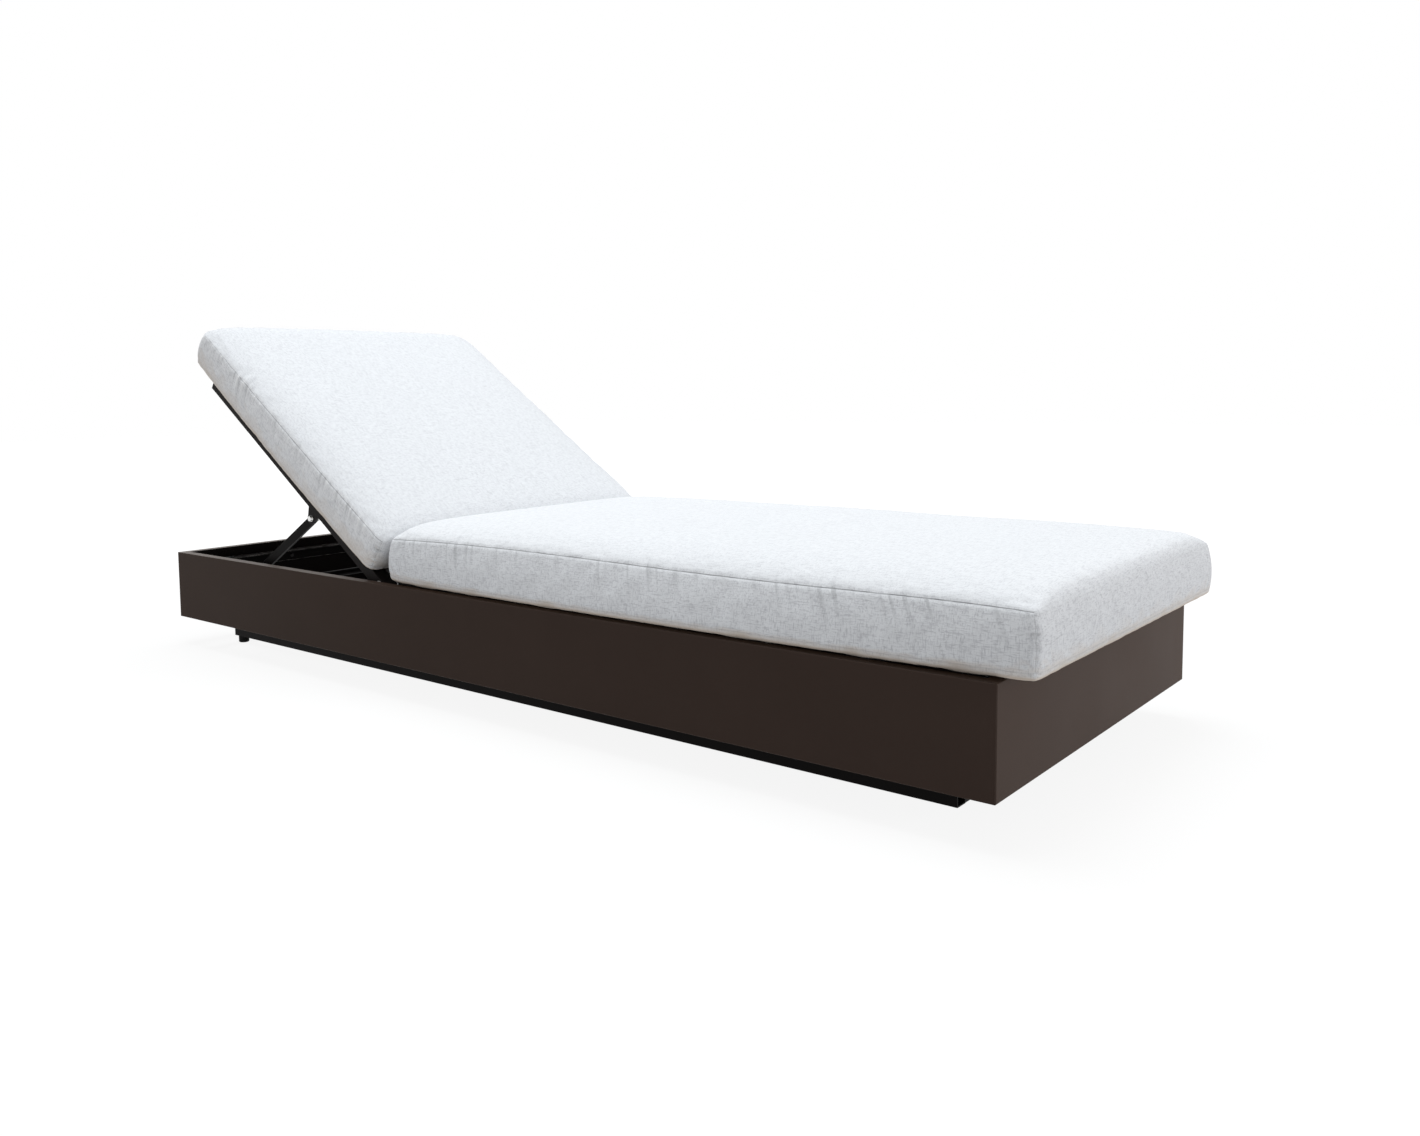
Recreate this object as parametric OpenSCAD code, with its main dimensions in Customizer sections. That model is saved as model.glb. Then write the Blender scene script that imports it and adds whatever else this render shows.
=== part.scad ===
// Platform lounger: a panelled aluminium base, a seat cushion, and an adjustable back frame and cushion.
// X runs to the foot end, the near side is at -Y, Z is up. The origin is on the floor under the middle.

/* [Base] */
// Length of the base over the head and foot panels
base_l = 2000; // [1800:10:2200]
// Width of the base over the side panels
base_w = 800; // [700:10:900]
// Height of the base panels
panel_h = 154; // [130:1:190]
// Thickness of the base panels
panel_t = 22; // [18:1:30]
// Wall of the panel's box section
panel_wall = 2.2; // [1.6:0.1:3]
// Radius on the long edges of the panels
panel_edge_r = 1.5; // [0.8:0.1:2]
// Radius of the base's four upright corners
corner_r = 3; // [2:0.5:6]

/* [Plinth and feet] */
// Distance of the plinth from the outer faces of the panels
plinth_inset = 90; // [60:5:110]
// Height of the plinth rails
plinth_h = 50; // [40:1:70]
// Width of the plinth rails
plinth_w = 26; // [22:1:40]
// Wall of the plinth and bearer tubes
tube_wall = 2; // [1.5:0.1:3]
// Diameter of a foot
foot_d = 24; // [20:1:40]
// Height of a foot under the plinth
foot_h = 16; // [10:1:24]
// Radius on the lower edge of a foot
foot_edge_r = 3; // [1:0.5:5]
// Distance from the plinth's end to the hidden pair of feet
hidden_foot_x = 70; // [60:5:120]
// Distance from the plinth's side to the hidden pair of feet
hidden_foot_y = 70; // [60:5:120]

/* [Deck] */
// Height of the deck and of the flat back frame above the rim
deck_rise = 3; // [1:0.5:6]
// Width of a deck slat
deck_slat_w = 112; // [80:1:130]
// Height of a deck slat
deck_slat_h = 20; // [15:1:25]
// Width of a ledge's flange
ledge_w = 25; // [20:1:35]
// Thickness of the ledges, cleats and brackets
angle_t = 3; // [2:0.5:5]

/* [Back frame] */
// Angle of the back above level, as it stands at rest
back_angle = 34.5; // [20:0.5:45]
// Distance of the hinge pins from the head panel's outer face
hinge_x = 742; // [720:1:780]
// Length of the back rails above the hinge pins
rail_l = 716; // [640:1:716]
// Length of the back rails below the hinge pins
rail_tail = 14; // [13:1:18]
// Width of the back rails
rail_w = 30; // [26:1:40]
// Height of the back rails
rail_h = 25; // [22:1:30]
// Wall of the back frame's tubes
rail_wall = 2; // [1.5:0.1:2.5]
// Gap between a side panel and a back rail
rail_gap = 4; // [4:0.5:6]
// Width of a back slat
back_slat_w = 70; // [50:1:90]
// Height of a back slat
back_slat_h = 14; // [10:1:18]

/* [Hinge] */
// Diameter of a hinge pin
pin_d = 12; // [10:0.5:12]
// Outer diameter of a hinge bush
bush_d = 16; // [15:0.5:18]
// Thickness of a hinge plate
plate_t = 3; // [2:0.1:3]
// Length of a hinge plate along the base
plate_l = 84; // [76:1:110]

/* [Prop] */
// Distance of the prop bolts from the hinge pins, along the back
prop_s = 262; // [240:1:280]
// Distance of the prop bolts under the back rails
prop_drop = 24.5; // [20:0.5:28]
// Length of a prop leg between the bolt and the bar
prop_l = 342; // [320:1:360]
// Width of a prop leg
leg_w = 20; // [18:1:26]
// Thickness of a prop leg
leg_t = 5; // [4:0.5:6]
// Diameter of the prop bar
bar_d = 16; // [12:1:20]
// Depth of the prop bar's axis under the rim, at rest
bar_depth = 70; // [60:1:80]
// Diameter of a prop bolt
bolt_d = 8; // [6:1:10]
// Highest angle of the back above level
top_angle = 55; // [50:1:55]
// Height of a notched rack
rack_h = 28; // [24:1:32]
// Thickness of a notched rack
rack_t = 8; // [6:1:8]

/* [Cushions] */
// Distance of the seat cushion's end past the foot panel
seat_overhang = 45; // [20:5:60]
// Distance of the seat cushion's head end past the hinge pins
seat_start = 52; // [51:1:70]
// Distance of the back cushion's end past the ends of the back rails
back_overhang = 74; // [20:1:90]
// Distance of the back cushion's lower end above the hinge pins, along the back
back_start = 24; // [18:1:40]
// Distance of the cushions' sides from the base's outer faces
cushion_inset = 12; // [5:1:30]
// Height of a cushion's upper seam above its underside
border_h = 88; // [70:1:110]
// Height of a cushion's lower seam above its underside
low_seam = 13; // [6:1:20]
// Rise of a cushion's crown above its upper seam
crown = 29; // [10:1:40]
// Width of the rolled edge inside a cushion's upper seam
roll_w = 34; // [20:1:50]
// Distance that a cushion's upper seam leans in
border_lean = 5; // [0:0.5:10]
// Distance that a cushion's border swells out
border_swell = 3; // [0:0.5:8]
// Distance that a cushion's sides draw in between the corners
side_draw = 5; // [0:0.5:12]
// Distance that a cushion's upper corners are pulled down
corner_drop = 3; // [0:0.5:15]
// Radius of a cushion's corners, seen from above
cushion_r = 18; // [15:1:45]
// Thickness of a cushion's cover with its wadding
cover_t = 4; // [2:0.5:8]

/* [Fixings] */
// Diameter of a frame screw
screw_d = 5; // [4:0.5:6]
// Diameter of a frame screw's head
screw_head_d = 10; // [8:0.5:11]
// Height of a frame screw's head
screw_head_h = 2.6; // [2:0.1:3]
// Length of a frame screw under its head
screw_l = 12; // [10:0.5:14]

/* [Hidden] */
$fn = 48;
// Overrun that lets a cut pass its faces
over = 1;
// Gap that keeps loose or moving pieces apart
gap = 0.3;
// Running clearance on the radius of a pin
run = 0.05;
// Gap beside a thrust face
slip = 0.1;
// Thread that stands proud of a nut
proud = 1;
// Radius on a tube's outer corners
tube_r = 1;

// Heights and places of the base
rim_z = foot_h + plinth_h + panel_h;
under_z = foot_h + plinth_h;
deck_z = rim_z + deck_rise;
x_end = base_l + seat_overhang;
half_w = base_w / 2;
inner_y = half_w - panel_t;

// Counts of like pieces
deck_slats = 7;
back_slats = 5;
bearer_n = 3;

// Bearers, brackets and cleats
bearer_w = 30;
bearer_h = 24;
bearer_end = plinth_inset + bearer_w / 2;
bracket_room = 2;
cleat_l = 36;
cleat_foot = 4;
function bearer_x(i) = bearer_end + i * (base_l - 2 * bearer_end) / (bearer_n - 1);

// Plinth
plinth_l = base_l - 2 * plinth_inset;
plinth_z = foot_h + plinth_h / 2;
plinth_span = base_w - 2 * plinth_inset - 2 * plinth_w;

// Feet: two in the plinth's head corners, two on the inner cross rail
stud_d = 8;
foot_collar = 4;
head_foot = plinth_inset + plinth_w / 2 + 2 * tube_wall;
cross_rail_x = base_l - plinth_inset - hidden_foot_x;
function foot_at(i) = [
    i < 2 ? head_foot : cross_rail_x,
    (i % 2 == 0 ? -1 : 1) * (half_w - plinth_inset - (i < 2 ? plinth_w / 2 : hidden_foot_y))
];

// Back frame
hinge_z = deck_z - rail_h / 2;
rail_y = inner_y - rail_gap - rail_w / 2;
cross_w = rail_h;
cross_l = 2 * (rail_y - rail_w / 2);
bottom_rail_s = 42;
slat_first_s = bottom_rail_s + cross_w / 2;
slat_last_s = rail_l - cross_w;
slat_pitch = (slat_last_s - slat_first_s) / back_slats;
cap_t = 2;

// Point of the back, s along it from the hinge and n square to it, when it stands at angle a
function back_pt(s, n, a) = [hinge_x - s * cos(a) + n * sin(a), hinge_z + s * sin(a) + n * cos(a)];

// Prop: its lean at rest, and the bar's place for any angle of the back when the bar stays level
prop_n = -(rail_h / 2 + prop_drop);
bar_z = rim_z - bar_depth;
function prop_lean(a) = asin((back_pt(prop_s, prop_n, a)[1] - bar_z) / prop_l);
function bar_x(a) = back_pt(prop_s, prop_n, a)[0] - prop_l * cos(prop_lean(a));
prop_rest = back_pt(prop_s, prop_n, back_angle);

// Layers of the prop's bolt joint, measured inwards from the side panel's inner face
tab_y = 12;
tab_t = 5;
leg_gap = 1;
tab_root = 46;
tab_tip_r = 12;
eye_rim = 2;
leg_y = tab_y + tab_t + leg_gap;
bar_end = 2;
head_r = 7.5;
head_t = 4.4;
nut_af = 13;
nut_t = 6.5;
washer_t = leg_gap - 2 * slip;
washer_r = 8;

// Racks: the bar may sink a little away from its rest place, so their tops lie a settling gap lower.
// The brackets of the bearers and the corner cleats fill the room under the racks.
rack_margin = 8;
rack_settle = 1;
notch_w = 9;
notch_h = 6;
rack_x0 = bar_x(0) - bar_d / 2 - rack_margin;
rack_x1 = bar_x(top_angle) + bar_d / 2 + rack_margin;
rack_top = bar_z - bar_d / 2 - gap;
bracket_l = rack_top - rack_h - bracket_room - angle_t - under_z - bearer_h;
cleat_z = under_z + cleat_foot;
cleat_h = rack_top - rack_h - bracket_room - cleat_z;
LOW_NOTCH_SHARES = [0.35, 0.68, 1];
HIGH_NOTCH_SHARES = [0.45, 0.9];
NOTCH_ANGLES = concat(
    [for (s = LOW_NOTCH_SHARES) s * back_angle],
    [for (s = HIGH_NOTCH_SHARES) back_angle + s * (top_angle - back_angle)]
);

// Hinge
plate_h = 42;
plate_top = 8;
flange_t = rail_gap - plate_t - 2 * slip;
flange_rim = 2;
hinge_nut_af = 18;
hinge_nut_t = 7;
hinge_washer_d = 20;
hinge_washer_t = 1.5;
pin_l = rail_gap + rail_w + gap + hinge_washer_t + hinge_nut_t + proud;

// Ledges, pads and slats
ledge_start = 1;
ledge_x0 = hinge_x + plate_l / 2 + ledge_start;
ledge_x1 = base_l - panel_t;
slat_room = ledge_x1 - ledge_x0;
deck_pitch = slat_room / deck_slats;
deck_screw_y = inner_y - angle_t - ledge_w / 2;
function deck_x(i) = ledge_x0 + (i - 0.5) * deck_pitch;
pad_room = 2;
pad_w = 20;
head_ledge_z = hinge_z - rail_h / 2 - pad_room;

// Screws in a side panel as [x, z, thickness of the piece held]
ledge_screw_z = deck_z - deck_slat_h - angle_t - ledge_w / 2;
LEDGE_SHARES = [0.04, 0.27, 0.5, 0.73, 0.96];
RACK_SHARES = [0.08, 0.5, 0.92];
rack_screw_z = rack_top - notch_h - (rack_h - notch_h) / 2;
CLEAT_SHARES = [0.22, 0.78];
cleat_zs = [for (s = CLEAT_SHARES) cleat_z + s * cleat_h];
cleat_d = panel_t + angle_t + cleat_l / 2;
plate_dx = plate_l / 2 - screw_head_d;
plate_screw_z = hinge_z + plate_top - plate_h + screw_head_d;
bracket_z = under_z + bearer_h + angle_t + bracket_l / 2;
SIDE_SCREWS = concat(
    [for (s = LEDGE_SHARES) [ledge_x0 + s * slat_room, ledge_screw_z, angle_t]],
    [for (s = RACK_SHARES) [rack_x0 + s * (rack_x1 - rack_x0), rack_screw_z, rack_t]],
    [for (x = [cleat_d, base_l - cleat_d], z = cleat_zs) [x, z, angle_t]],
    [for (d = [-plate_dx, plate_dx]) [hinge_x + d, plate_screw_z, plate_t]],
    [for (i = [0:bearer_n - 1]) [bearer_x(i), bracket_z, angle_t]]
);
HEAD_LEDGE_SHARES = [-0.8, -0.27, 0.27, 0.8];
head_ledge_screw_z = head_ledge_z - angle_t - ledge_w / 2;
HEAD_SCREWS = concat(
    [for (s = HEAD_LEDGE_SHARES) [s * inner_y, head_ledge_screw_z]],
    [for (s = [-1, 1], z = cleat_zs) [s * (inner_y - cleat_d + panel_t), z]]
);
FOOT_SCREWS = [for (s = [-1, 1], z = cleat_zs) [s * (inner_y - cleat_d + panel_t), z]];

// Cushions
cushion_w = base_w - 2 * cushion_inset;
seat_x0 = hinge_x + seat_start;
seat_l = x_end - seat_x0;
back_l = rail_l + back_overhang - back_start;
// Points on a corner and on a side of a ring
ARC_N = 3;
SIDE_N = 5;
RING_N = 4 * (ARC_N + 1 + SIDE_N);
// Rings under the lower seam as shares of the roll and of the seam's height
UNDER_SHARES = [[2.4, 0], [0.55, 0.03], [0.16, 0.35], [0, 1]];
// Rings on the border as shares of its height
BORDER_SHARES = [1 / 3, 2 / 3, 1];
// Rings on the crown as shares of the roll and of the crown's rise
CROWN_SHARES = [[0.15, 0.36], [0.5, 0.76], [1.3, 0.95], [4.8, 1]];
function border_in(t) = border_lean * t - border_swell * 4 * t * (1 - t);
x_mid = (x_end - min([for (t = concat(0, BORDER_SHARES)) border_in(t)])) / 2;

// Shared shapes and placements

module place() {
    translate([-x_mid, 0, 0]) children();
}

module far_side() {
    mirror([0, 1, 0]) children();
}

module both_sides() {
    children();
    far_side() children();
}

module on_back() {
    translate([hinge_x, 0, hinge_z]) rotate([0, back_angle, 0]) children();
}

module rounded_rect(w, h, r) {
    square([w - 2 * r, h], center = true);
    square([w, h - 2 * r], center = true);
    for (x = [-1, 1], y = [-1, 1])
        translate([x * (w / 2 - r), y * (h / 2 - r)]) circle(r);
}

module tube_section(w, h, wall, r) {
    difference() {
        rounded_rect(w, h, r);
        rounded_rect(w - 2 * wall, h - 2 * wall, max(r - wall, r / 3));
    }
}

// A tube along X that starts at x = 0, centred on the X axis
module tube_x(l, w, h, wall) {
    rotate([90, 0, 90]) linear_extrude(l) tube_section(w, h, wall, tube_r);
}

// A tube along Y, centred on the origin
module tube_y(l, w, h, wall) {
    rotate([0, 0, 90]) translate([-l / 2, 0, 0]) tube_x(l, w, h, wall);
}

// A round piece along Y, from y to y + l
module rod_y(d, y, l) {
    translate([0, y, 0]) rotate([-90, 0, 0]) cylinder(d = d, h = l);
}

// A ring along Y, from y to y + l
module ring_y(d, bore, y, l) {
    difference() {
        rod_y(d, y, l);
        rod_y(bore, y - over, l + 2 * over);
    }
}

// A hexagon nut along Y with its bore
module nut_y(af, bore, y, l) {
    difference() {
        translate([0, y, 0]) rotate([-90, 0, 0]) cylinder(d = af / cos(30), h = l, $fn = 6);
        rod_y(bore, y - over, l + 2 * over);
    }
}

// A pan-head screw along +Z, its head under z = 0 at the foot of the shank
module screw() {
    cylinder(d = screw_d, h = screw_l);
    translate([0, 0, -screw_head_h])
        cylinder(d1 = screw_head_d - screw_head_h, d2 = screw_head_d, h = screw_head_h);
}

// A clearance hole for a frame screw along +Z, through a wall of thickness t that starts at z = 0
module screw_hole(t) {
    translate([0, 0, -over]) cylinder(d = screw_d + 2 * run, h = t + 2 * over);
}

// Base panels

module panel_profile() {
    tube_section(panel_t, panel_h, panel_wall, panel_edge_r);
}

// The outline of the base seen from above, with rounded upright corners
module base_outline() {
    translate([base_l / 2, 0, 0]) linear_extrude(rim_z + over) rounded_rect(base_l, base_w, corner_r);
}

// The wedge that a side panel keeps between its two mitres
module side_mitre() {
    translate([0, 0, -over]) linear_extrude(rim_z + 3 * over)
        polygon([
            [0, -half_w], [base_l, -half_w],
            [base_l - half_w, 0], [half_w, 0]
        ]);
}

module end_mitre() {
    translate([0, 0, -over]) linear_extrude(rim_z + 3 * over)
        polygon([[0, -half_w], [half_w, 0], [0, half_w]]);
}

module side_panel() {
    color("#3a2f2b") difference() {
        intersection() {
            translate([0, -half_w + panel_t / 2, rim_z - panel_h / 2])
                rotate([90, 0, 90]) linear_extrude(base_l) panel_profile();
            side_mitre();
            base_outline();
        }
        for (p = SIDE_SCREWS)
            translate([p[0], -inner_y, p[1]]) rotate([90, 0, 0]) screw_hole(panel_wall);
    }
}

module end_panel_blank() {
    intersection() {
        translate([panel_t / 2, half_w, rim_z - panel_h / 2])
            rotate([90, 0, 0]) linear_extrude(base_w) panel_profile();
        end_mitre();
        base_outline();
    }
}

module end_holes(spots) {
    for (p = spots)
        translate([panel_t, p[0], p[1]]) rotate([0, -90, 0]) screw_hole(panel_wall);
}

module head_panel() {
    color("#3a2f2b") difference() {
        end_panel_blank();
        end_holes(HEAD_SCREWS);
    }
}

module foot_panel() {
    color("#4a3b34") translate([base_l, 0, 0]) mirror([1, 0, 0]) difference() {
        end_panel_blank();
        end_holes(FOOT_SCREWS);
    }
}

// An angle section along +X: one flange level at the top, one flange down the -Y side
module angle_x(l, w, h, t) {
    translate([0, 0, -t]) cube([l, w, t]);
    translate([0, 0, -h]) cube([l, t, h - t]);
}

// Cleat in the near head corner
module cleat() {
    difference() {
        translate([panel_t, -inner_y, cleat_z]) {
            cube([cleat_l + angle_t, angle_t, cleat_h]);
            cube([angle_t, cleat_l + angle_t, cleat_h]);
        }
        for (z = cleat_zs) {
            translate([cleat_d, -inner_y + angle_t, z]) rotate([90, 0, 0]) screw_hole(angle_t);
            translate([panel_t, -inner_y + cleat_d - panel_t, z]) rotate([0, 90, 0]) screw_hole(angle_t);
        }
    }
}

module corner_cleats() {
    color("dimgray") both_sides() {
        cleat();
        translate([base_l, 0, 0]) mirror([1, 0, 0]) cleat();
    }
}

// All like screws of the base, heads inwards
module frame_screws() {
    color("silver") {
        both_sides() {
            for (p = SIDE_SCREWS)
                translate([p[0], -inner_y + p[2], p[1]]) rotate([90, 0, 0]) screw();
            for (i = [0:bearer_n - 1])
                translate([bearer_x(i), -inner_y + angle_t + bracket_l / 2, under_z + bearer_h + angle_t])
                    mirror([0, 0, 1]) screw();
        }
        for (p = HEAD_SCREWS)
            translate([panel_t + angle_t, p[0], p[1]]) rotate([0, -90, 0]) screw();
        for (p = FOOT_SCREWS)
            translate([base_l - panel_t - angle_t, p[0], p[1]]) rotate([0, 90, 0]) screw();
    }
}

// Plinth and bearers

module stud_hole(i) {
    p = foot_at(i);
    translate([p[0], p[1], foot_h - over]) cylinder(d = stud_d + 2 * run, h = tube_wall + 2 * over);
}

module plinth_side(first) {
    color("#171514") difference() {
        translate([plinth_inset, -half_w + plinth_inset + plinth_w / 2, plinth_z])
            tube_x(plinth_l, plinth_w, plinth_h, tube_wall);
        stud_hole(first);
    }
}

module plinth_end(x) {
    color("#171514") translate([x, 0, plinth_z]) tube_y(plinth_span, plinth_w, plinth_h, tube_wall);
}

module plinth_cross_rail() {
    color("#171514") difference() {
        translate([cross_rail_x, 0, plinth_z]) tube_y(plinth_span, plinth_w, plinth_h, tube_wall);
        for (i = [2, 3]) stud_hole(i);
    }
}

module cross_bearer(i) {
    color("#1c1a19") translate([bearer_x(i - 1), 0, under_z + bearer_h / 2])
        difference() {
            tube_y(2 * inner_y, bearer_w, bearer_h, tube_wall);
            for (s = [-1, 1])
                translate([0, s * (inner_y - bracket_l / 2 - angle_t), bearer_h / 2 - tube_wall])
                    screw_hole(tube_wall);
        }
}

// Angle bracket on top of a bearer, screwed to the side panel and to the bearer
module bearer_bracket(i) {
    translate([bearer_x(i) - bracket_l / 2, -inner_y, under_z + bearer_h]) difference() {
        union() {
            cube([bracket_l, angle_t, bracket_l + angle_t]);
            translate([0, angle_t, 0]) cube([bracket_l, bracket_l, angle_t]);
        }
        translate([bracket_l / 2, angle_t, bracket_z - under_z - bearer_h]) rotate([90, 0, 0])
            screw_hole(angle_t);
        translate([bracket_l / 2, angle_t + bracket_l / 2, 0]) screw_hole(angle_t);
    }
}

module bearer_brackets() {
    color("dimgray") both_sides()
        for (i = [0:bearer_n - 1]) bearer_bracket(i);
}

module foot(i) {
    p = foot_at(i - 1);
    r = foot_d / 2;
    color("#101010") translate([p[0], p[1], 0]) difference() {
        rotate_extrude() {
            square([r - foot_edge_r, foot_h]);
            translate([0, foot_edge_r]) square([r, foot_h - foot_edge_r]);
            translate([r - foot_edge_r, foot_edge_r]) circle(foot_edge_r);
        }
        translate([0, 0, foot_collar]) cylinder(d = stud_d + 2 * run, h = foot_h);
    }
}

module foot_studs() {
    color("silver") for (i = [0:3]) {
        p = foot_at(i);
        translate([p[0], p[1], foot_collar]) cylinder(d = stud_d, h = foot_h - foot_collar + plinth_h / 2);
        translate([p[0], p[1], foot_h + tube_wall]) cylinder(d = nut_af / cos(30), h = nut_t, $fn = 6);
    }
}

// Ledges and deck

module side_ledge() {
    z = deck_z - deck_slat_h;
    color("#1c1a19") difference() {
        translate([ledge_x0, -inner_y, z])
            angle_x(slat_room, ledge_w + angle_t, ledge_w + angle_t, angle_t);
        for (s = LEDGE_SHARES)
            translate([ledge_x0 + s * slat_room, -inner_y + angle_t, ledge_screw_z]) rotate([90, 0, 0])
                screw_hole(angle_t);
        for (i = [1:deck_slats])
            translate([deck_x(i), -deck_screw_y, z - angle_t]) screw_hole(angle_t);
    }
}

module head_ledge() {
    l = 2 * (inner_y - angle_t - cleat_l - gap);
    color("#1c1a19") difference() {
        translate([panel_t, l / 2, head_ledge_z]) rotate([0, 0, -90])
            angle_x(l, ledge_w, ledge_w + angle_t, angle_t);
        for (s = HEAD_LEDGE_SHARES)
            translate([panel_t, s * inner_y, head_ledge_screw_z]) rotate([0, 90, 0]) screw_hole(angle_t);
    }
}

module rest_pads() {
    color("#101010") both_sides()
        translate([panel_t + ledge_w - pad_w, -inner_y + angle_t + cleat_l + pad_w, head_ledge_z])
            cube([pad_w, 2 * pad_w, pad_room - gap]);
}

module deck_slat(i) {
    color("#26221f") translate([deck_x(i), 0, deck_z - deck_slat_h / 2]) difference() {
        tube_y(2 * (inner_y - gap), deck_slat_w, deck_slat_h, tube_wall);
        for (s = [-1, 1])
            translate([0, s * deck_screw_y, -deck_slat_h / 2]) screw_hole(tube_wall);
    }
}

// Screws that come up through the ledges into the slats
module deck_screws() {
    color("silver") both_sides()
        for (i = [1:deck_slats])
            translate([deck_x(i), -deck_screw_y, deck_z - deck_slat_h - angle_t]) screw();
}

// Racks

module rack() {
    color("#1c1a19") difference() {
        translate([0, -inner_y + rack_t, 0]) rotate([90, 0, 0]) linear_extrude(rack_t)
            polygon([
                [rack_x0, rack_top - rack_h], [rack_x1, rack_top - rack_h],
                [rack_x1, rack_top - rack_settle],
                [bar_x(back_angle) + bar_d / 2, rack_top], [rack_x0, rack_top]
            ]);
        for (a = NOTCH_ANGLES)
            translate([bar_x(a), -inner_y, rack_top - notch_h + notch_w / 2]) {
                rod_y(notch_w, -over, rack_t + 2 * over);
                translate([-notch_w / 2, -over, 0]) cube([notch_w, rack_t + 2 * over, notch_h]);
            }
        for (s = RACK_SHARES)
            translate([rack_x0 + s * (rack_x1 - rack_x0), -inner_y + rack_t, rack_screw_z])
                rotate([90, 0, 0]) screw_hole(rack_t);
    }
}

// Hinges

module hinge_plate() {
    color("dimgray") difference() {
        translate([hinge_x - plate_l / 2, -inner_y, hinge_z + plate_top - plate_h])
            cube([plate_l, plate_t, plate_h]);
        translate([hinge_x, -inner_y, hinge_z]) rod_y(pin_d + 2 * run, -over, plate_t + 2 * over);
        for (d = [-plate_dx, plate_dx])
            translate([hinge_x + d, -inner_y + plate_t, plate_screw_z]) rotate([90, 0, 0])
                screw_hole(plate_t);
    }
}

module hinge_pins() {
    color("silver") both_sides() translate([hinge_x, -inner_y, hinge_z]) rod_y(pin_d, 0, pin_l);
}

module hinge_nuts() {
    y = rail_gap + rail_w + gap;
    color("silver") both_sides() translate([hinge_x, -inner_y, hinge_z]) {
        ring_y(hinge_washer_d, pin_d + 2 * run, y, hinge_washer_t);
        nut_y(hinge_nut_af, pin_d + 2 * run, y + hinge_washer_t, hinge_nut_t);
    }
}

// The bush lines the rail's two walls and keeps the rail off the plate
module hinge_bushes() {
    color("white") both_sides() on_back() translate([0, -inner_y + rail_gap, 0]) difference() {
        union() {
            rod_y(bush_d, 0, rail_w);
            rod_y(bush_d + 2 * flange_rim, -flange_t, flange_t);
        }
        rod_y(pin_d + 2 * run, -flange_t - over, rail_w + flange_t + 2 * over);
    }
}

// Back frame

module back_rail() {
    color("#231f1d") on_back() difference() {
        translate([-rail_l, -rail_y, 0]) tube_x(rail_l + rail_tail, rail_w, rail_h, rail_wall);
        translate([0, -rail_y - rail_w / 2, 0]) rod_y(bush_d + 2 * run, -over, rail_w + 2 * over);
    }
}

module back_cross(s) {
    color("#231f1d") on_back() translate([-s, 0, 0]) tube_y(cross_l, cross_w, rail_h, rail_wall);
}

module back_slat(i) {
    color("#2b2623") on_back()
        translate([-slat_first_s - (i - 0.5) * slat_pitch, 0, (rail_h - back_slat_h) / 2])
            tube_y(cross_l, back_slat_w, back_slat_h, rail_wall);
}

// A plastic plug in the end of a rail, its spigot along +X
module rail_cap(spigot) {
    translate([-cap_t, 0, 0]) rotate([90, 0, 90]) linear_extrude(cap_t)
        rounded_rect(rail_w, rail_h, tube_r);
    rotate([90, 0, 90]) linear_extrude(spigot)
        square([rail_w - 2 * rail_wall - 2 * gap, rail_h - 2 * rail_wall - 2 * gap], center = true);
}

module rail_caps() {
    color("#101010") both_sides() on_back() {
        translate([-rail_l, -rail_y, 0]) rail_cap(rail_h / 2);
        translate([rail_tail, -rail_y, 0]) mirror([1, 0, 0]) rail_cap((rail_tail - bush_d / 2) / 2);
    }
}

// Prop joint

module prop_tabs() {
    color("#231f1d") both_sides() on_back() translate([-prop_s, -inner_y + tab_y + tab_t, 0])
        rotate([90, 0, 0]) linear_extrude(tab_t) difference() {
            union() {
                polygon([
                    [-tab_root / 2, -rail_h / 2], [-tab_tip_r, prop_n],
                    [tab_tip_r, prop_n], [tab_root / 2, -rail_h / 2]
                ]);
                translate([0, prop_n]) circle(tab_tip_r);
            }
            translate([0, prop_n]) circle(bolt_d / 2 + run);
        }
}

// The axis of the prop bolts, with the layers measured from the side panel
module at_prop() {
    translate([prop_rest[0], -inner_y, prop_rest[1]]) children();
}

module prop_bolts() {
    color("gainsboro") both_sides() at_prop() {
        rod_y(bolt_d, tab_y, leg_y + leg_t + gap + nut_t + proud - tab_y);
        translate([0, tab_y, 0]) rotate([90, 0, 0])
            cylinder(r1 = head_r, r2 = head_r - head_t / 2, h = head_t);
    }
}

module prop_washers() {
    color("white") both_sides() at_prop()
        ring_y(2 * washer_r, bolt_d + 2 * run, tab_y + tab_t + (leg_gap - washer_t) / 2, washer_t);
}

module prop_nuts() {
    color("silver") both_sides() at_prop()
        nut_y(nut_af, bolt_d + 2 * run, leg_y + leg_t + gap, nut_t);
}

module prop_leg() {
    lean = prop_lean(back_angle);
    color("#1c1a19") at_prop() rotate([0, -lean, 0]) translate([0, leg_y + leg_t, 0]) rotate([90, 0, 0])
        linear_extrude(leg_t) difference() {
            union() {
                translate([-prop_l, -leg_w / 2]) square([prop_l, leg_w]);
                circle(leg_w / 2);
                translate([-prop_l, 0]) circle(leg_w / 2 + eye_rim);
            }
            circle(bolt_d / 2 + run);
            translate([-prop_l, 0]) circle(bar_d / 2 + run);
        }
}

module prop_bar() {
    color("#2b2623") translate([bar_x(back_angle), -inner_y, bar_z])
        rod_y(bar_d, bar_end, 2 * (inner_y - bar_end));
}

// Cushions

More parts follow.
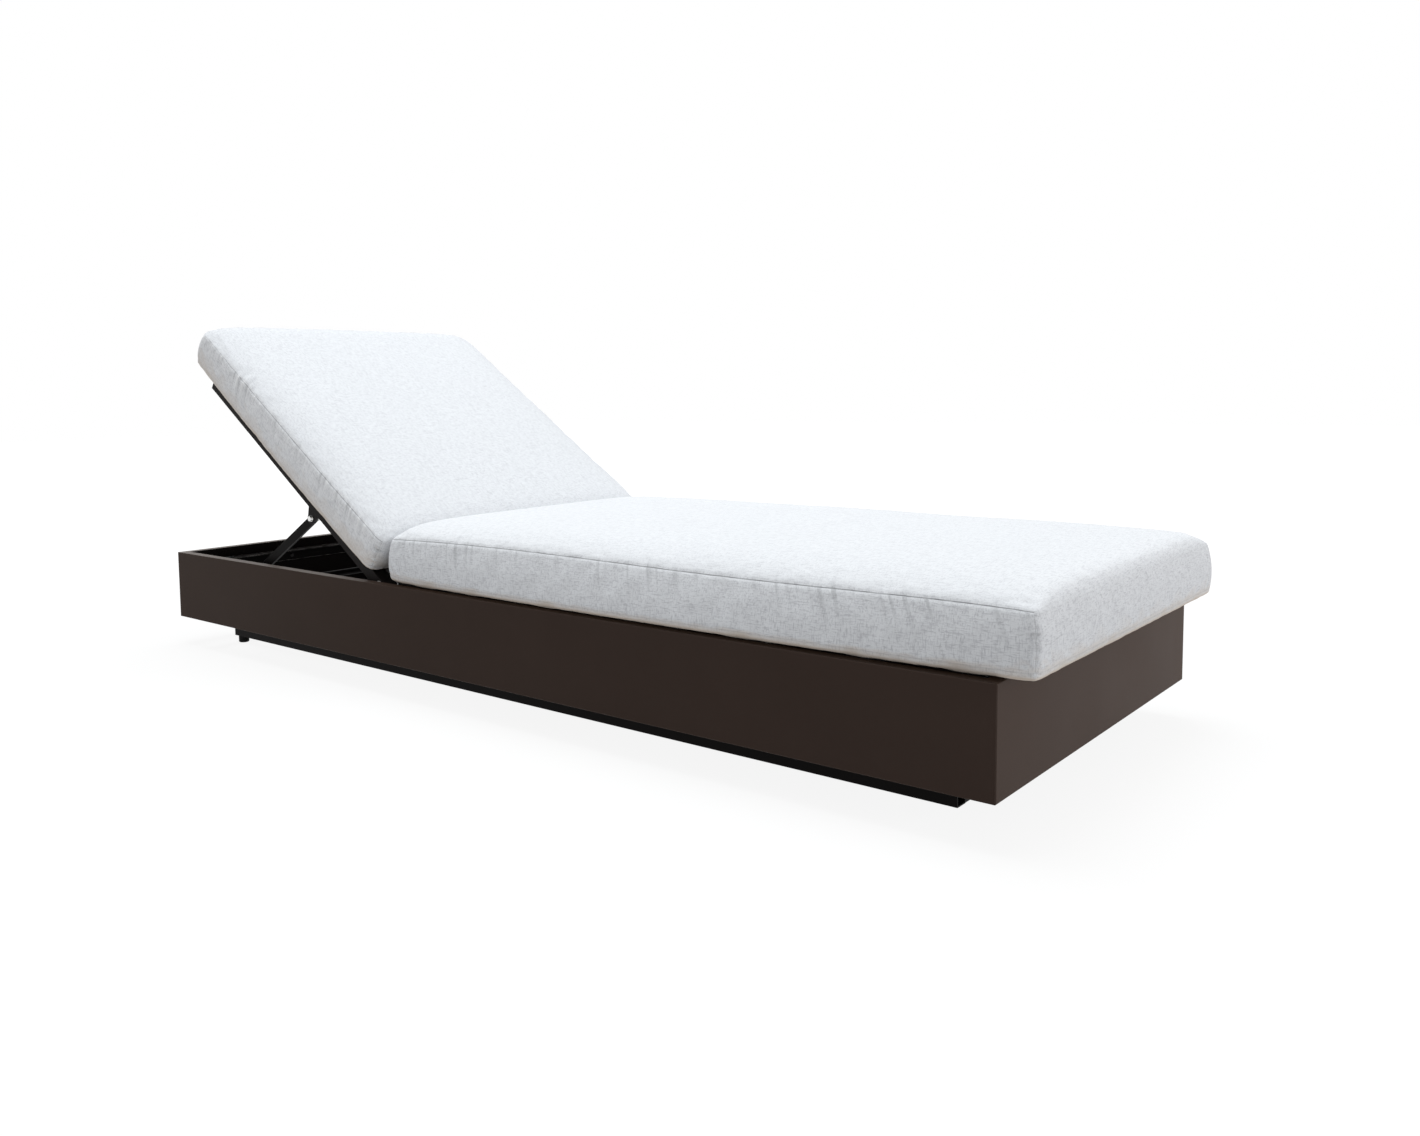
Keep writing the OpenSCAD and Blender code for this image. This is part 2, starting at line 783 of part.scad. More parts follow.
// One ring of a cushion, a and b its half length and half width, at height z. The sides draw in between the
// corners, and the corners are pulled down by drop.
function ring(a, b, r, draw, z, drop) = [
    for (k = [0:3])
        let (c = [k == 0 || k == 3 ? a - r : r - a, k < 2 ? b - r : r - b],
             last = c + r * [cos(90 * k + 90), sin(90 * k + 90)],
             next_c = [k == 0 || k == 1 ? r - a : a - r, k == 0 || k == 3 ? b - r : r - b],
             next = next_c + r * [cos(90 * k + 90), sin(90 * k + 90)])
        each concat(
            [for (i = [0:ARC_N]) [
                c[0] + r * cos(90 * (k + i / ARC_N)), c[1] + r * sin(90 * (k + i / ARC_N)), z - drop
            ]],
            [for (j = [1:SIDE_N])
                let (t = j / (SIDE_N + 1), q = 2 * t - 1, p = last + t * (next - last))
                [
                    p[0] - draw * (1 - q * q) * cos(90 * k + 90),
                    p[1] - draw * (1 - q * q) * sin(90 * k + 90),
                    z - drop * q * q * q * q
                ]]
        )
];

// Rings from the underside to the crown of a cushion whose skin lies d inside its outer face
function under_ring(a, b, r, d, s) =
    let (in = s[0] * roll_w)
    ring(a - in, b - in, ring_r(r, in), side_draw, d + s[1] * (low_seam - d), 0);

function border_ring(a, b, r, d, t) =
    let (in = border_in(t))
    ring(a - in, b - in, r, side_draw, low_seam + t * (border_h - low_seam - d), corner_drop * t);

function crown_ring(a, b, r, d, s) =
    let (in = border_lean + s[0] * roll_w, left = 1 - s[1])
    ring(a - in, b - in, ring_r(r, in), side_draw * left, border_h - d + s[1] * crown, corner_drop * left);

function rings(l, w, d) =
    let (a = l / 2 - d, b = w / 2 - d, r = cushion_r - d / 2)
    concat(
        [for (s = UNDER_SHARES) under_ring(a, b, r, d, s)],
        [for (t = BORDER_SHARES) border_ring(a, b, r, d, t)],
        [for (s = CROWN_SHARES) crown_ring(a, b, r, d, s)]
    );

function ring_r(r, inset) = max(r - inset / 2, r / 4);

// A closed skin over the rings, with a centre point at each end
module cushion_form(l, w, d) {
    rows = rings(l, w, d);
    n = len(rows);
    low = [0, 0, d];
    top = [0, 0, border_h + crown - d];
    points = concat([for (row = rows) each row], [low, top]);
    walls = [for (i = [0:n - 2], j = [0:RING_N - 1])
        let (p = i * RING_N + j, q = i * RING_N + (j + 1) % RING_N)
        each [[p, p + RING_N, q], [q, p + RING_N, q + RING_N]]];
    floor_faces = [for (j = [0:RING_N - 1]) [j, (j + 1) % RING_N, n * RING_N]];
    top_faces = [for (j = [0:RING_N - 1])
        [(n - 1) * RING_N + (j + 1) % RING_N, (n - 1) * RING_N + j, n * RING_N + 1]];
    polyhedron(points, concat(walls, floor_faces, top_faces));
}

module cushion_cover(l) {
    color("whitesmoke") difference() {
        cushion_form(l, cushion_w, 0);
        cushion_form(l, cushion_w, cover_t);
    }
}

module cushion_foam(l) {
    color("khaki") cushion_form(l, cushion_w, cover_t + gap);
}

module on_deck() {
    translate([seat_x0 + seat_l / 2, 0, deck_z + gap]) children();
}

module on_back_frame() {
    on_back() translate([-back_start - back_l / 2, 0, rail_h / 2 + gap]) children();
}

place() side_panel();  // near_side_panel
place() far_side() side_panel();  // far_side_panel
place() head_panel();
place() foot_panel();
place() corner_cleats();
place() frame_screws();
place() plinth_side(0);  // plinth_near_rail
place() far_side() plinth_side(0);  // plinth_far_rail
place() plinth_end(plinth_inset + plinth_w / 2);  // plinth_head_rail
place() plinth_end(base_l - plinth_inset - plinth_w / 2);  // plinth_foot_rail
place() plinth_cross_rail();
for (i = [1:bearer_n]) place() cross_bearer(i);
place() bearer_brackets();
for (i = [1:4]) place() foot(i);
place() foot_studs();
place() side_ledge();  // near_ledge
place() far_side() side_ledge();  // far_ledge
place() head_ledge();
place() rest_pads();
for (i = [1:deck_slats]) place() deck_slat(i);
place() deck_screws();
place() rack();  // near_rack
place() far_side() rack();  // far_rack
place() hinge_plate();  // near_hinge_plate
place() far_side() hinge_plate();  // far_hinge_plate
place() hinge_pins();
place() hinge_nuts();
place() on_deck() cushion_cover(seat_l);  // seat_cover
place() on_deck() cushion_foam(seat_l);  // seat_foam
place() back_rail();  // back_near_rail
place() far_side() back_rail();  // back_far_rail
place() back_cross(rail_l - cross_w / 2);  // back_top_rail
place() back_cross(bottom_rail_s);  // back_bottom_rail
place() rail_caps();
for (i = [1:back_slats]) place() back_slat(i);
place() hinge_bushes();
place() prop_tabs();
place() prop_bolts();
place() prop_washers();
place() prop_nuts();
place() on_back_frame() cushion_cover(back_l);  // back_cover
place() on_back_frame() cushion_foam(back_l);  // back_foam
place() prop_leg();  // prop_near_leg
place() far_side() prop_leg();  // prop_far_leg
place() prop_bar();
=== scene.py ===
"""Relaxation lounger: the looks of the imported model, in the order in which the real one is put together."""
import math

import bpy
import numpy as np
from mathutils import Matrix, Vector, noise


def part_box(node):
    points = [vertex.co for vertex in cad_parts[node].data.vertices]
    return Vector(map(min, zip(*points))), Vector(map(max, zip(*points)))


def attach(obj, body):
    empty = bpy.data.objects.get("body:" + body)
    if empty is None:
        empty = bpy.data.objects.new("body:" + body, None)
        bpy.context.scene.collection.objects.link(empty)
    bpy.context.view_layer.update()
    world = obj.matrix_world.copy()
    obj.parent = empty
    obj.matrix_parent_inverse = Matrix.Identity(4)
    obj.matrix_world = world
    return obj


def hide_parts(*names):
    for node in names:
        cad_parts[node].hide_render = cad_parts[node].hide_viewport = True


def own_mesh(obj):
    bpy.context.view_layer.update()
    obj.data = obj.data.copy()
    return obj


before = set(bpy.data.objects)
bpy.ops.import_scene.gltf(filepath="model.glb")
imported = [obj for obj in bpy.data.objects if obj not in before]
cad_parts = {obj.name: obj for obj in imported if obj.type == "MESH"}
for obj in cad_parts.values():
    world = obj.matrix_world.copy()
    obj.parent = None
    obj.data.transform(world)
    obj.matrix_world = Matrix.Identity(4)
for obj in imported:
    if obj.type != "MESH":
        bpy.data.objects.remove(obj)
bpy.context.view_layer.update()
MM = 0.001


# Base panels
# Four box-section aluminium panels, mitred at the corners and powder coated in a dark espresso brown with a
# satin finish. The coat has a very fine orange peel, and is rubbed a little thinner along the edges. It is
# painted lighter towards the foot end, and the dust on the open rim at the head end also paints its
# reflection.
# Painted shade blackens the inner faces and the rim under the seat cushion.

# Scales of noise, as the number of its waves in a metre
COAT_CLOUDS = 5.0
COAT_SPECKS = 700.0
COAT_HAZE = 4.0
ORANGE_PEEL = 420.0
WEAR_PATCHES = 60.0
DUST_CLOUDS = 9.0

SPECK_SHARE = 0.2
PEEL_DEPTH = 0.02 * MM
RIM_OPEN_X = -0.42
RIM_COVERED_X = -0.2
ESPRESSO = (0.0372, 0.0246, 0.0199, 1)
ESPRESSO_RUBBED = (0.10, 0.082, 0.072, 1)
# Dust on the open rim tops, pale enough to also paint the reflection that lightens them.
DUST_AND_PAINTED_REFLECTION = (0.34, 0.32, 0.305, 1)
# Near black for painted shade in the well and on the rim under the seat cushion.
PAINTED_SHADE_BLACK = (0.006, 0.005, 0.005, 1)
VELVET_BROWN = (0.60, 0.36, 0.24, 1)


def node_group(name, inputs, outputs):
    """An empty shader node group with named sockets, and its two ends."""
    group = bpy.data.node_groups.new(name, "ShaderNodeTree")
    for label, kind, value in inputs:
        socket = group.interface.new_socket(label, in_out="INPUT", socket_type="NodeSocket" + kind)
        socket.default_value = value
    for label, kind in outputs:
        group.interface.new_socket(label, in_out="OUTPUT", socket_type="NodeSocket" + kind)
    return group, group.nodes.new("NodeGroupInput"), group.nodes.new("NodeGroupOutput")


def put(tree, kind, links=None, **settings):
    """A node in the tree, its settings made and its inputs joined to sockets or set to values."""
    node = tree.nodes.new(kind)
    for key, value in settings.items():
        setattr(node, key, value)
    for socket, source in (links or {}).items():
        if isinstance(source, bpy.types.NodeSocket):
            tree.links.new(source, node.inputs[socket])
        else:
            node.inputs[socket].default_value = source
    return node


def object_place(tree):
    """Places on the object, in metres, that stay with a piece when it moves."""
    return put(tree, "ShaderNodeTexCoord").outputs["Object"]


def facing_parts(tree):
    """The three parts of the direction that a face looks in."""
    facing = put(tree, "ShaderNodeTexCoord").outputs["Normal"]
    return put(tree, "ShaderNodeSeparateXYZ", {0: facing}).outputs


def fine_noise(tree, place, scale, detail=3.0, rough=0.5):
    return put(tree, "ShaderNodeTexNoise", {
        "Vector": place, "Scale": scale, "Detail": detail, "Roughness": rough,
    }).outputs["Fac"]


def spread(tree, value, low, high, out_low, out_high):
    """A value moved from one range to another, and held inside it."""
    return put(tree, "ShaderNodeMapRange", {
        "Value": value, "From Min": low, "From Max": high, "To Min": out_low, "To Max": out_high,
    }).outputs["Result"]


def reckon(tree, operation, a, b=0.0, *others):
    """One value out of one, two or more, worked out from the left."""
    result = put(tree, "ShaderNodeMath", {0: a, 1: b}, operation=operation).outputs[0]
    return reckon(tree, operation, result, *others) if others else result


def blend_colours(tree, factor, a, b):
    return put(tree, "ShaderNodeMix", {"Factor": factor, 6: a, 7: b}, data_type="RGBA").outputs[2]


def blend_values(tree, factor, a, b):
    return put(tree, "ShaderNodeMix", {0: factor, 2: a, 3: b}, data_type="FLOAT").outputs[0]


def scaled(tree, tone, factor):
    """A colour made lighter or darker by a factor."""
    return put(tree, "ShaderNodeVectorMath", {0: tone, "Scale": factor}, operation="SCALE").outputs["Vector"]


def edge_wear_and_highlight_group():
    """A mask that is 1 along outer edges, broken up by noise: worn edges on most coats, and a painted edge
    highlight on the ledges and the prop.
    """
    group, entry, end = node_group(
        "edge_wear_and_highlight", [("Width", "Float", 0.001), ("Amount", "Float", 0.5)], [("Mask", "Float")]
    )
    bevel = put(group, "ShaderNodeBevel", {"Radius": entry.outputs["Width"]}, samples=4)
    flat = put(group, "ShaderNodeNewGeometry").outputs["Normal"]
    turned = put(group, "ShaderNodeVectorMath", {0: bevel.outputs[0], 1: flat}, operation="DOT_PRODUCT")
    edge = spread(group, turned.outputs["Value"], 0.995, 0.9, 0.0, 1.0)
    patches = spread(group, fine_noise(group, object_place(group), WEAR_PATCHES), 0.35, 0.65, 0.25, 1.0)
    group.links.new(reckon(group, "MULTIPLY", edge, patches, entry.outputs["Amount"]), end.inputs["Mask"])
    return group


def coat_group():
    """The grain of a powder coat: slow drifts of tone, a cloudy gloss and orange peel.

    The last input is the share of the tone that each metre towards the foot end adds, a painted lightening
    for the light that the foot end catches.
    """
    group, entry, end = node_group(
        "powder_grain",
        [("Tone", "Color", (0.02, 0.015, 0.013, 1)), ("Drift", "Float", 0.12), ("Gloss", "Float", 0.4),
         ("Fade", "Float", 0.0)],
        [("Colour", "Color"), ("Roughness", "Float"), ("Height", "Float")],
    )
    place = object_place(group)
    cloud = reckon(group, "MULTIPLY", fine_noise(group, place, COAT_CLOUDS, 4.0, 0.6), 1 - SPECK_SHARE)
    speck = reckon(group, "MULTIPLY", fine_noise(group, place, COAT_SPECKS, 2.0, 0.5), SPECK_SHARE)
    low = reckon(group, "SUBTRACT", 1.0, entry.outputs["Drift"])
    high = reckon(group, "ADD", 1.0, entry.outputs["Drift"])
    drift = spread(group, reckon(group, "ADD", cloud, speck), 0.3, 0.7, low, high)
    along = put(group, "ShaderNodeSeparateXYZ", {0: place}).outputs[0]
    # Painted light: the tone grows lighter towards the foot end.
    lit_towards_foot = reckon(group, "ADD", 1.0, reckon(group, "MULTIPLY", along, entry.outputs["Fade"]))
    tone = scaled(group, entry.outputs["Tone"], reckon(group, "MULTIPLY", drift, lit_towards_foot))
    group.links.new(tone, end.inputs["Colour"])
    haze = spread(group, fine_noise(group, place, COAT_HAZE, 3.0, 0.55), 0.3, 0.7, -0.025, 0.03)
    group.links.new(reckon(group, "ADD", entry.outputs["Gloss"], haze), end.inputs["Roughness"])
    group.links.new(fine_noise(group, place, ORANGE_PEEL, 2.0, 0.5), end.inputs["Height"])
    return group


def dust_and_painted_light_group():
    """Masks for dust on open upward faces, which also paints the reflection that lightens the rim top, and
    for painted
    shade: black on the inner faces and on the rim under the seat cushion.
    """
    group, entry, end = node_group(
        "dust_and_painted_light", [("Amount", "Float", 0.5)], [("Mask", "Float"), ("Painted_shade", "Float")]
    )
    facing = facing_parts(group)
    up = spread(group, facing[2], 0.75, 0.98, 0.0, 1.0)
    place = object_place(group)
    film = spread(group, fine_noise(group, place, DUST_CLOUDS, 5.0, 0.65), 0.3, 0.7, 0.7, 1.0)
    along = put(group, "ShaderNodeSeparateXYZ", {0: place}).outputs[0]
    open_air = spread(group, along, RIM_OPEN_X, RIM_COVERED_X, 1.0, 0.0)
    lying = reckon(group, "MULTIPLY", up, film, open_air, entry.outputs["Amount"])
    group.links.new(lying, end.inputs["Mask"])
    # Painted shade: the rim under the seat cushion and the inner faces of the panels are blackened.
    under_seat_shade = reckon(group, "MULTIPLY", up, reckon(group, "SUBTRACT", 1.0, open_air))
    level = put(group, "ShaderNodeCombineXYZ", {"X": facing[0], "Y": facing[1]}).outputs[0]
    outward = put(group, "ShaderNodeVectorMath", {0: level, 1: place}, operation="DOT_PRODUCT")
    inner = spread(group, outward.outputs["Value"], -0.1, -0.3, 0.0, 1.0)
    group.links.new(reckon(group, "MAXIMUM", under_seat_shade, inner), end.inputs["Painted_shade"])
    return group


EDGE_WEAR_AND_HIGHLIGHT = edge_wear_and_highlight_group()
POWDER_GRAIN = coat_group()
DUST_AND_PAINTED_LIGHT = dust_and_painted_light_group()


def new_material(name):
    material = bpy.data.materials.new(name)
    material.use_nodes = True
    material.node_tree.nodes.clear()
    return material, material.node_tree


def use_group(tree, group, **values):
    """A group in the tree, with its inputs set by name."""
    inputs = {key.capitalize(): value for key, value in values.items()}
    return put(tree, "ShaderNodeGroup", inputs, node_tree=group)


def close_material(tree, kind, links):
    """The shader that ends a material, joined to the surface."""
    put(tree, "ShaderNodeOutputMaterial", {"Surface": put(tree, kind, links).outputs[0]})


def powder_coat(name, tone, gloss, lightened, edge_amount=0.35, edge_width=1.2 * MM, drift=0.12, shine=0.05, dust_and_shade=0.0,
                velvet=0.0, fade=0.0):
    """Powder-coated metal of one colour. The coat is paler along the edges: worn on most parts, a painted
    edge highlight on the ledges and the prop. With dust, open upward faces get a dust film that also paints a
    reflection, and painted shade blackens the inner faces and the rim under the seat cushion.
    """
    material, tree = new_material(name)
    grain = use_group(tree, POWDER_GRAIN, tone=tone, drift=drift, gloss=gloss, fade=fade)
    edge_mark = use_group(tree, EDGE_WEAR_AND_HIGHLIGHT, width=edge_width, amount=edge_amount)
    colour = blend_colours(tree, edge_mark.outputs["Mask"], grain.outputs["Colour"], lightened)
    if dust_and_shade:
        film = use_group(tree, DUST_AND_PAINTED_LIGHT, amount=dust_and_shade)
        colour = blend_colours(tree, film.outputs["Mask"], colour, DUST_AND_PAINTED_REFLECTION)
        # Painted shade on the inner faces and on the rim under the seat cushion.
        colour = blend_colours(tree, film.outputs["Painted_shade"], colour, PAINTED_SHADE_BLACK)
    bump = put(tree, "ShaderNodeBump", {
        "Height": grain.outputs["Height"], "Strength": 0.35, "Distance": PEEL_DEPTH,
    })
    close_material(tree, "ShaderNodeBsdfPrincipled", {
        "Base Color": colour, "Roughness": grain.outputs["Roughness"], "Normal": bump.outputs["Normal"],
        "Specular IOR Level": shine, "Sheen Weight": velvet, "Sheen Roughness": 0.45,
        "Sheen Tint": VELVET_BROWN,
    })
    return material


def dress(material, *names):
    """Gives CAD parts their finish."""
    for name in names:
        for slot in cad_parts[name].material_slots:
            slot.material = material


panel_coat = powder_coat(
    "espresso_powder_coat", ESPRESSO, 0.46, ESPRESSO_RUBBED, drift=0.07, shine=0.04, dust_and_shade=0.5, velvet=0.17,
    fade=0.24,
)
dress(panel_coat, "near_side_panel", "far_side_panel", "head_panel", "foot_panel")


# Corner cleats and bearer brackets
# Bent and cut from steel angle and blackened. They hold the mitred corners and the cross bearers from inside.

X, Y, Z = range(3)
DRAWN_ALONG = 30.0
DRAWN_ACROSS = 1600.0
METAL_PATCHES = 45.0
DRAWN_DEPTH = 0.02 * MM


def bare_metal(name, tone, gloss, along, streak=0.08, metallic=1.0):
    """Bare metal with drawn lines along one axis and small bright and dull patches."""
    material, tree = new_material(name)
    place = object_place(tree)
    stretch = tuple(DRAWN_ALONG if axis == along else DRAWN_ACROSS for axis in (X, Y, Z))
    lines = put(tree, "ShaderNodeMapping", {"Vector": place, "Scale": stretch})
    drawn = fine_noise(tree, lines.outputs[0], 1.0, 3.0, 0.6)
    marks = reckon(tree, "ADD", drawn, fine_noise(tree, place, METAL_PATCHES, 3.0, 0.6))
    bump = put(tree, "ShaderNodeBump", {"Height": drawn, "Strength": 0.25, "Distance": DRAWN_DEPTH})
    close_material(tree, "ShaderNodeBsdfPrincipled", {
        "Base Color": scaled(tree, tone, spread(tree, marks, 0.7, 1.3, 0.8, 1.12)), "Metallic": metallic,
        "Roughness": spread(tree, marks, 0.7, 1.3, gloss + streak, gloss - streak),
        "Normal": bump.outputs["Normal"],
    })
    return material


bracket_steel = bare_metal("bracket_steel", (0.055, 0.053, 0.05), 0.5, along=Z)
dress(bracket_steel, "corner_cleats", "bearer_brackets")


# Plinth and cross bearers
# A recessed frame of rectangular tube in a blacker coat, which makes the base seem to float. The bearers lie
# on it and carry the brackets.

PLINTH_BLACK = (0.006, 0.005, 0.0048, 1)
PLINTH_RUBBED = (0.04, 0.036, 0.033, 1)
plinth_coat = powder_coat("plinth_black_coat", PLINTH_BLACK, 0.5, PLINTH_RUBBED, edge_amount=0.25)
dress(plinth_coat, "plinth_near_rail", "plinth_far_rail", "plinth_head_rail", "plinth_foot_rail",
      "plinth_cross_rail", "cross_bearer_1", "cross_bearer_2", "cross_bearer_3")


# Feet
# Turned black rubber feet on threaded studs under the plinth. The rest pads inside the base are of the same
# rubber.

BLOOM = 30.0
DARK = 0.1
DARK_SHINE = 0.1
PALE_SHINE = 0.35


def moulded(name, tone, gloss, grain_scale, grain_depth):
    """Moulded rubber or plastic with a fine stippled skin and a faint bloom. Dark ones shine little."""
    material, tree = new_material(name)
    place = object_place(tree)
    stipple = fine_noise(tree, place, grain_scale, 2.0, 0.5)
    bloom = fine_noise(tree, place, BLOOM, 3.0, 0.6)
    bump = put(tree, "ShaderNodeBump", {"Height": stipple, "Strength": 0.4, "Distance": grain_depth})
    close_material(tree, "ShaderNodeBsdfPrincipled", {
        "Base Color": scaled(tree, tone, spread(tree, bloom, 0.3, 0.7, 0.85, 1.2)),
        "Roughness": spread(tree, bloom, 0.3, 0.7, gloss + 0.06, gloss - 0.06),
        "Normal": bump.outputs["Normal"],
        "Specular IOR Level": DARK_SHINE if max(tone) < DARK else PALE_SHINE,
    })
    return material


foot_rubber = moulded("foot_rubber", (0.016, 0.016, 0.016), 0.7, 900.0, 0.05 * MM)
dress(foot_rubber, "foot_1", "foot_2", "foot_3", "foot_4", "rest_pads")


# Screws, studs, pins and nuts
# The screws inside the base are blackened. Studs, pins and nuts are plain stainless, turned and tumbled.

blackened = bare_metal("blackened_screws", (0.035, 0.034, 0.033), 0.45, along=Y, streak=0.07, metallic=0.8)
dress(blackened, "frame_screws", "deck_screws")
stainless = bare_metal("stainless_fixings", (0.56, 0.56, 0.55), 0.3, along=Y, streak=0.07)
dress(stainless, "foot_studs", "hinge_pins", "hinge_nuts", "prop_nuts")


# Ledges and racks
# Angle sections and notched bars inside the base, in a black coat like the plinth's. The pale line along
# their edges is a painted edge highlight.

INNER_BLACK = (0.008, 0.007, 0.0065, 1)
INNER_EDGE_HIGHLIGHT = (0.42, 0.40, 0.38, 1)
inner_coat = powder_coat("inner_black_coat", INNER_BLACK, 0.42, INNER_EDGE_HIGHLIGHT, edge_amount=1.0, edge_width=3 * MM)
dress(inner_coat, "near_ledge", "far_ledge", "head_ledge", "near_rack", "far_rack")


# Deck slats
# Wide flat tubes across the base that carry the seat cushion.

DECK_BROWN = (0.014, 0.0105, 0.0095, 1)
deck_coat = powder_coat("deck_coat", DECK_BROWN, 0.42, ESPRESSO_RUBBED)
dress(deck_coat, *[f"deck_slat_{i}" for i in range(1, 8)])


# Hinges
# Blackened steel plates on the side panels, with pins that turn in pale plastic bushes. The washers of the
# prop are the same plastic.

hinge_steel = bare_metal("hinge_steel", (0.05, 0.049, 0.047), 0.45, along=X)
dress(hinge_steel, "near_hinge_plate", "far_hinge_plate")
bearing_plastic = moulded("bearing_plastic", (0.62, 0.61, 0.57), 0.42, 600.0, 0.02 * MM)
dress(bearing_plastic, "hinge_bushes", "prop_washers")


# Back frame
# Welded rectangular tubes with slats between them, in a black-brown coat. Black plastic plugs close the ends
# of the rails.

BACK_BLACK = (0.010, 0.0082, 0.0075, 1)
BACK_RUBBED = (0.08, 0.072, 0.068, 1)
back_coat = powder_coat("back_frame_coat", BACK_BLACK, 0.4, BACK_RUBBED, edge_amount=0.4)
dress(back_coat, "back_near_rail", "back_far_rail", "back_top_rail", "back_bottom_rail", "prop_tabs",
      *[f"back_slat_{i}" for i in range(1, 6)])
plug_plastic = moulded("plug_plastic", (0.012, 0.012, 0.012), 0.5, 500.0, 0.03 * MM)
dress(plug_plastic, "rail_caps")


# Prop
# Two flat legs welded to a round bar that rests on the racks. Bright button-head bolts join them to the tabs
# of the back frame.

PROP_BLACK = (0.0055, 0.0048, 0.0045, 1)
# A paler tone along the edges of the legs and the bar is a painted edge highlight.
PROP_EDGE_HIGHLIGHT = (0.2, 0.19, 0.18, 1)
prop_coat = powder_coat("prop_coat", PROP_BLACK, 0.36, PROP_EDGE_HIGHLIGHT, edge_amount=0.8, shine=0.03)
dress(prop_coat, "prop_near_leg", "prop_far_leg", "prop_bar")
bolt_steel = bare_metal("bolt_steel", (0.72, 0.72, 0.71), 0.24, along=Y, streak=0.06)
dress(bolt_steel, "prop_bolts")


# Seat cushion
# A box cushion with a foam core: a top panel, a border and an underside of heathered outdoor cloth, sewn with
# plain seams. The border is sewn together at the corners, and the cloth swells between the seams.

# The lattice, and the forms that both cushions share
FINE_CELL = 5 * MM
FINE_CELLS = 9
WIDE_CELL = 13 * MM
BORDER_ROWS = 15
BORDER_SWELL = 3 * MM
LOW_SEAM = 13 * MM
UNDER_ROLL = 16 * MM
SHOULDER_H = 113 * MM
CROWN_REACH = 90 * MM
SAG_REACH = 10 * MM
END_SEAM_SHOWN = 0.06
ON_SEAM = 1e-6
FAR = 1.0
SEAM_MARKS = ("seam_gap", "low_gap", "corner_gap", "seam_run", "seam_shown")

# The stuffing
FOAM_HOLD = 0.5
FOAM_HOLD_REACH = 40 * MM
CORNER_HOLD = 0.5
STUFFING_STEPS = 20
STUFFING_CAP = 24 * MM
TINY = 1e-12
STUFFING = {
    "quality": 6, "mass": 0.25, "tension_stiffness": 22, "compression_stiffness": 22, "shear_stiffness": 8,
    "bending_stiffness": 0.9, "vertex_group_mass": "sewn", "pin_stiffness": 1.0, "shrink_min": -0.006,
    "use_pressure": True, "uniform_pressure_force": 4.0,
}

# The sewing: grooves at the seams, puckers beside them and broad lumps on the top
SEAM_GROOVE = 1.5 * MM
LESSER_GROOVE = 0.35 * SEAM_GROOVE
GROOVE_WIDTH = 2.6 * MM
CORNER_GROOVE_WIDTH = 3.0 * MM
PUCKER_START = 3 * MM
PUCKER_REACH = 17 * MM
PUCKER_SCALE = 48
FINE_PUCKER_SCALE = 103
PUCKER_PATCH_SCALE = 5
LUMP_H = 2.2 * MM
LUMP_SCALE = 4.2
LUMP_REACH = 60 * MM


def lattice(half):
    """Places across a panel from one seam to the other, close together near the seams."""
    inner = half - FINE_CELL * FINE_CELLS
    steps = max(2, round(2 * inner / WIDE_CELL))
    middle = np.linspace(-inner, inner, steps + 1)
    edge = inner + FINE_CELL * np.arange(1, FINE_CELLS + 1)
    return np.concatenate([-edge[::-1], middle, edge])


def round_plan(x, y, a, b, r):
    """Moves the square corners of a plan onto round ones."""
    dx, dy = np.abs(x) - (a - r), np.abs(y) - (b - r)
    if dx <= 0 or dy <= 0:
        return x, y
    k = max(dx, dy) / math.hypot(dx, dy)
    return math.copysign(a - r + dx * k, x), math.copysign(b - r + dy * k, y)


def vertex_places(mesh):
    places = np.empty(len(mesh.vertices) * 3, np.float32)
    mesh.vertices.foreach_get("co", places)
    return places.reshape(-1, 3).astype(float)


def bell(distance, width):
    """1 at a seam, and soon nothing beside it."""
    return np.exp(-(distance / width) ** 2)


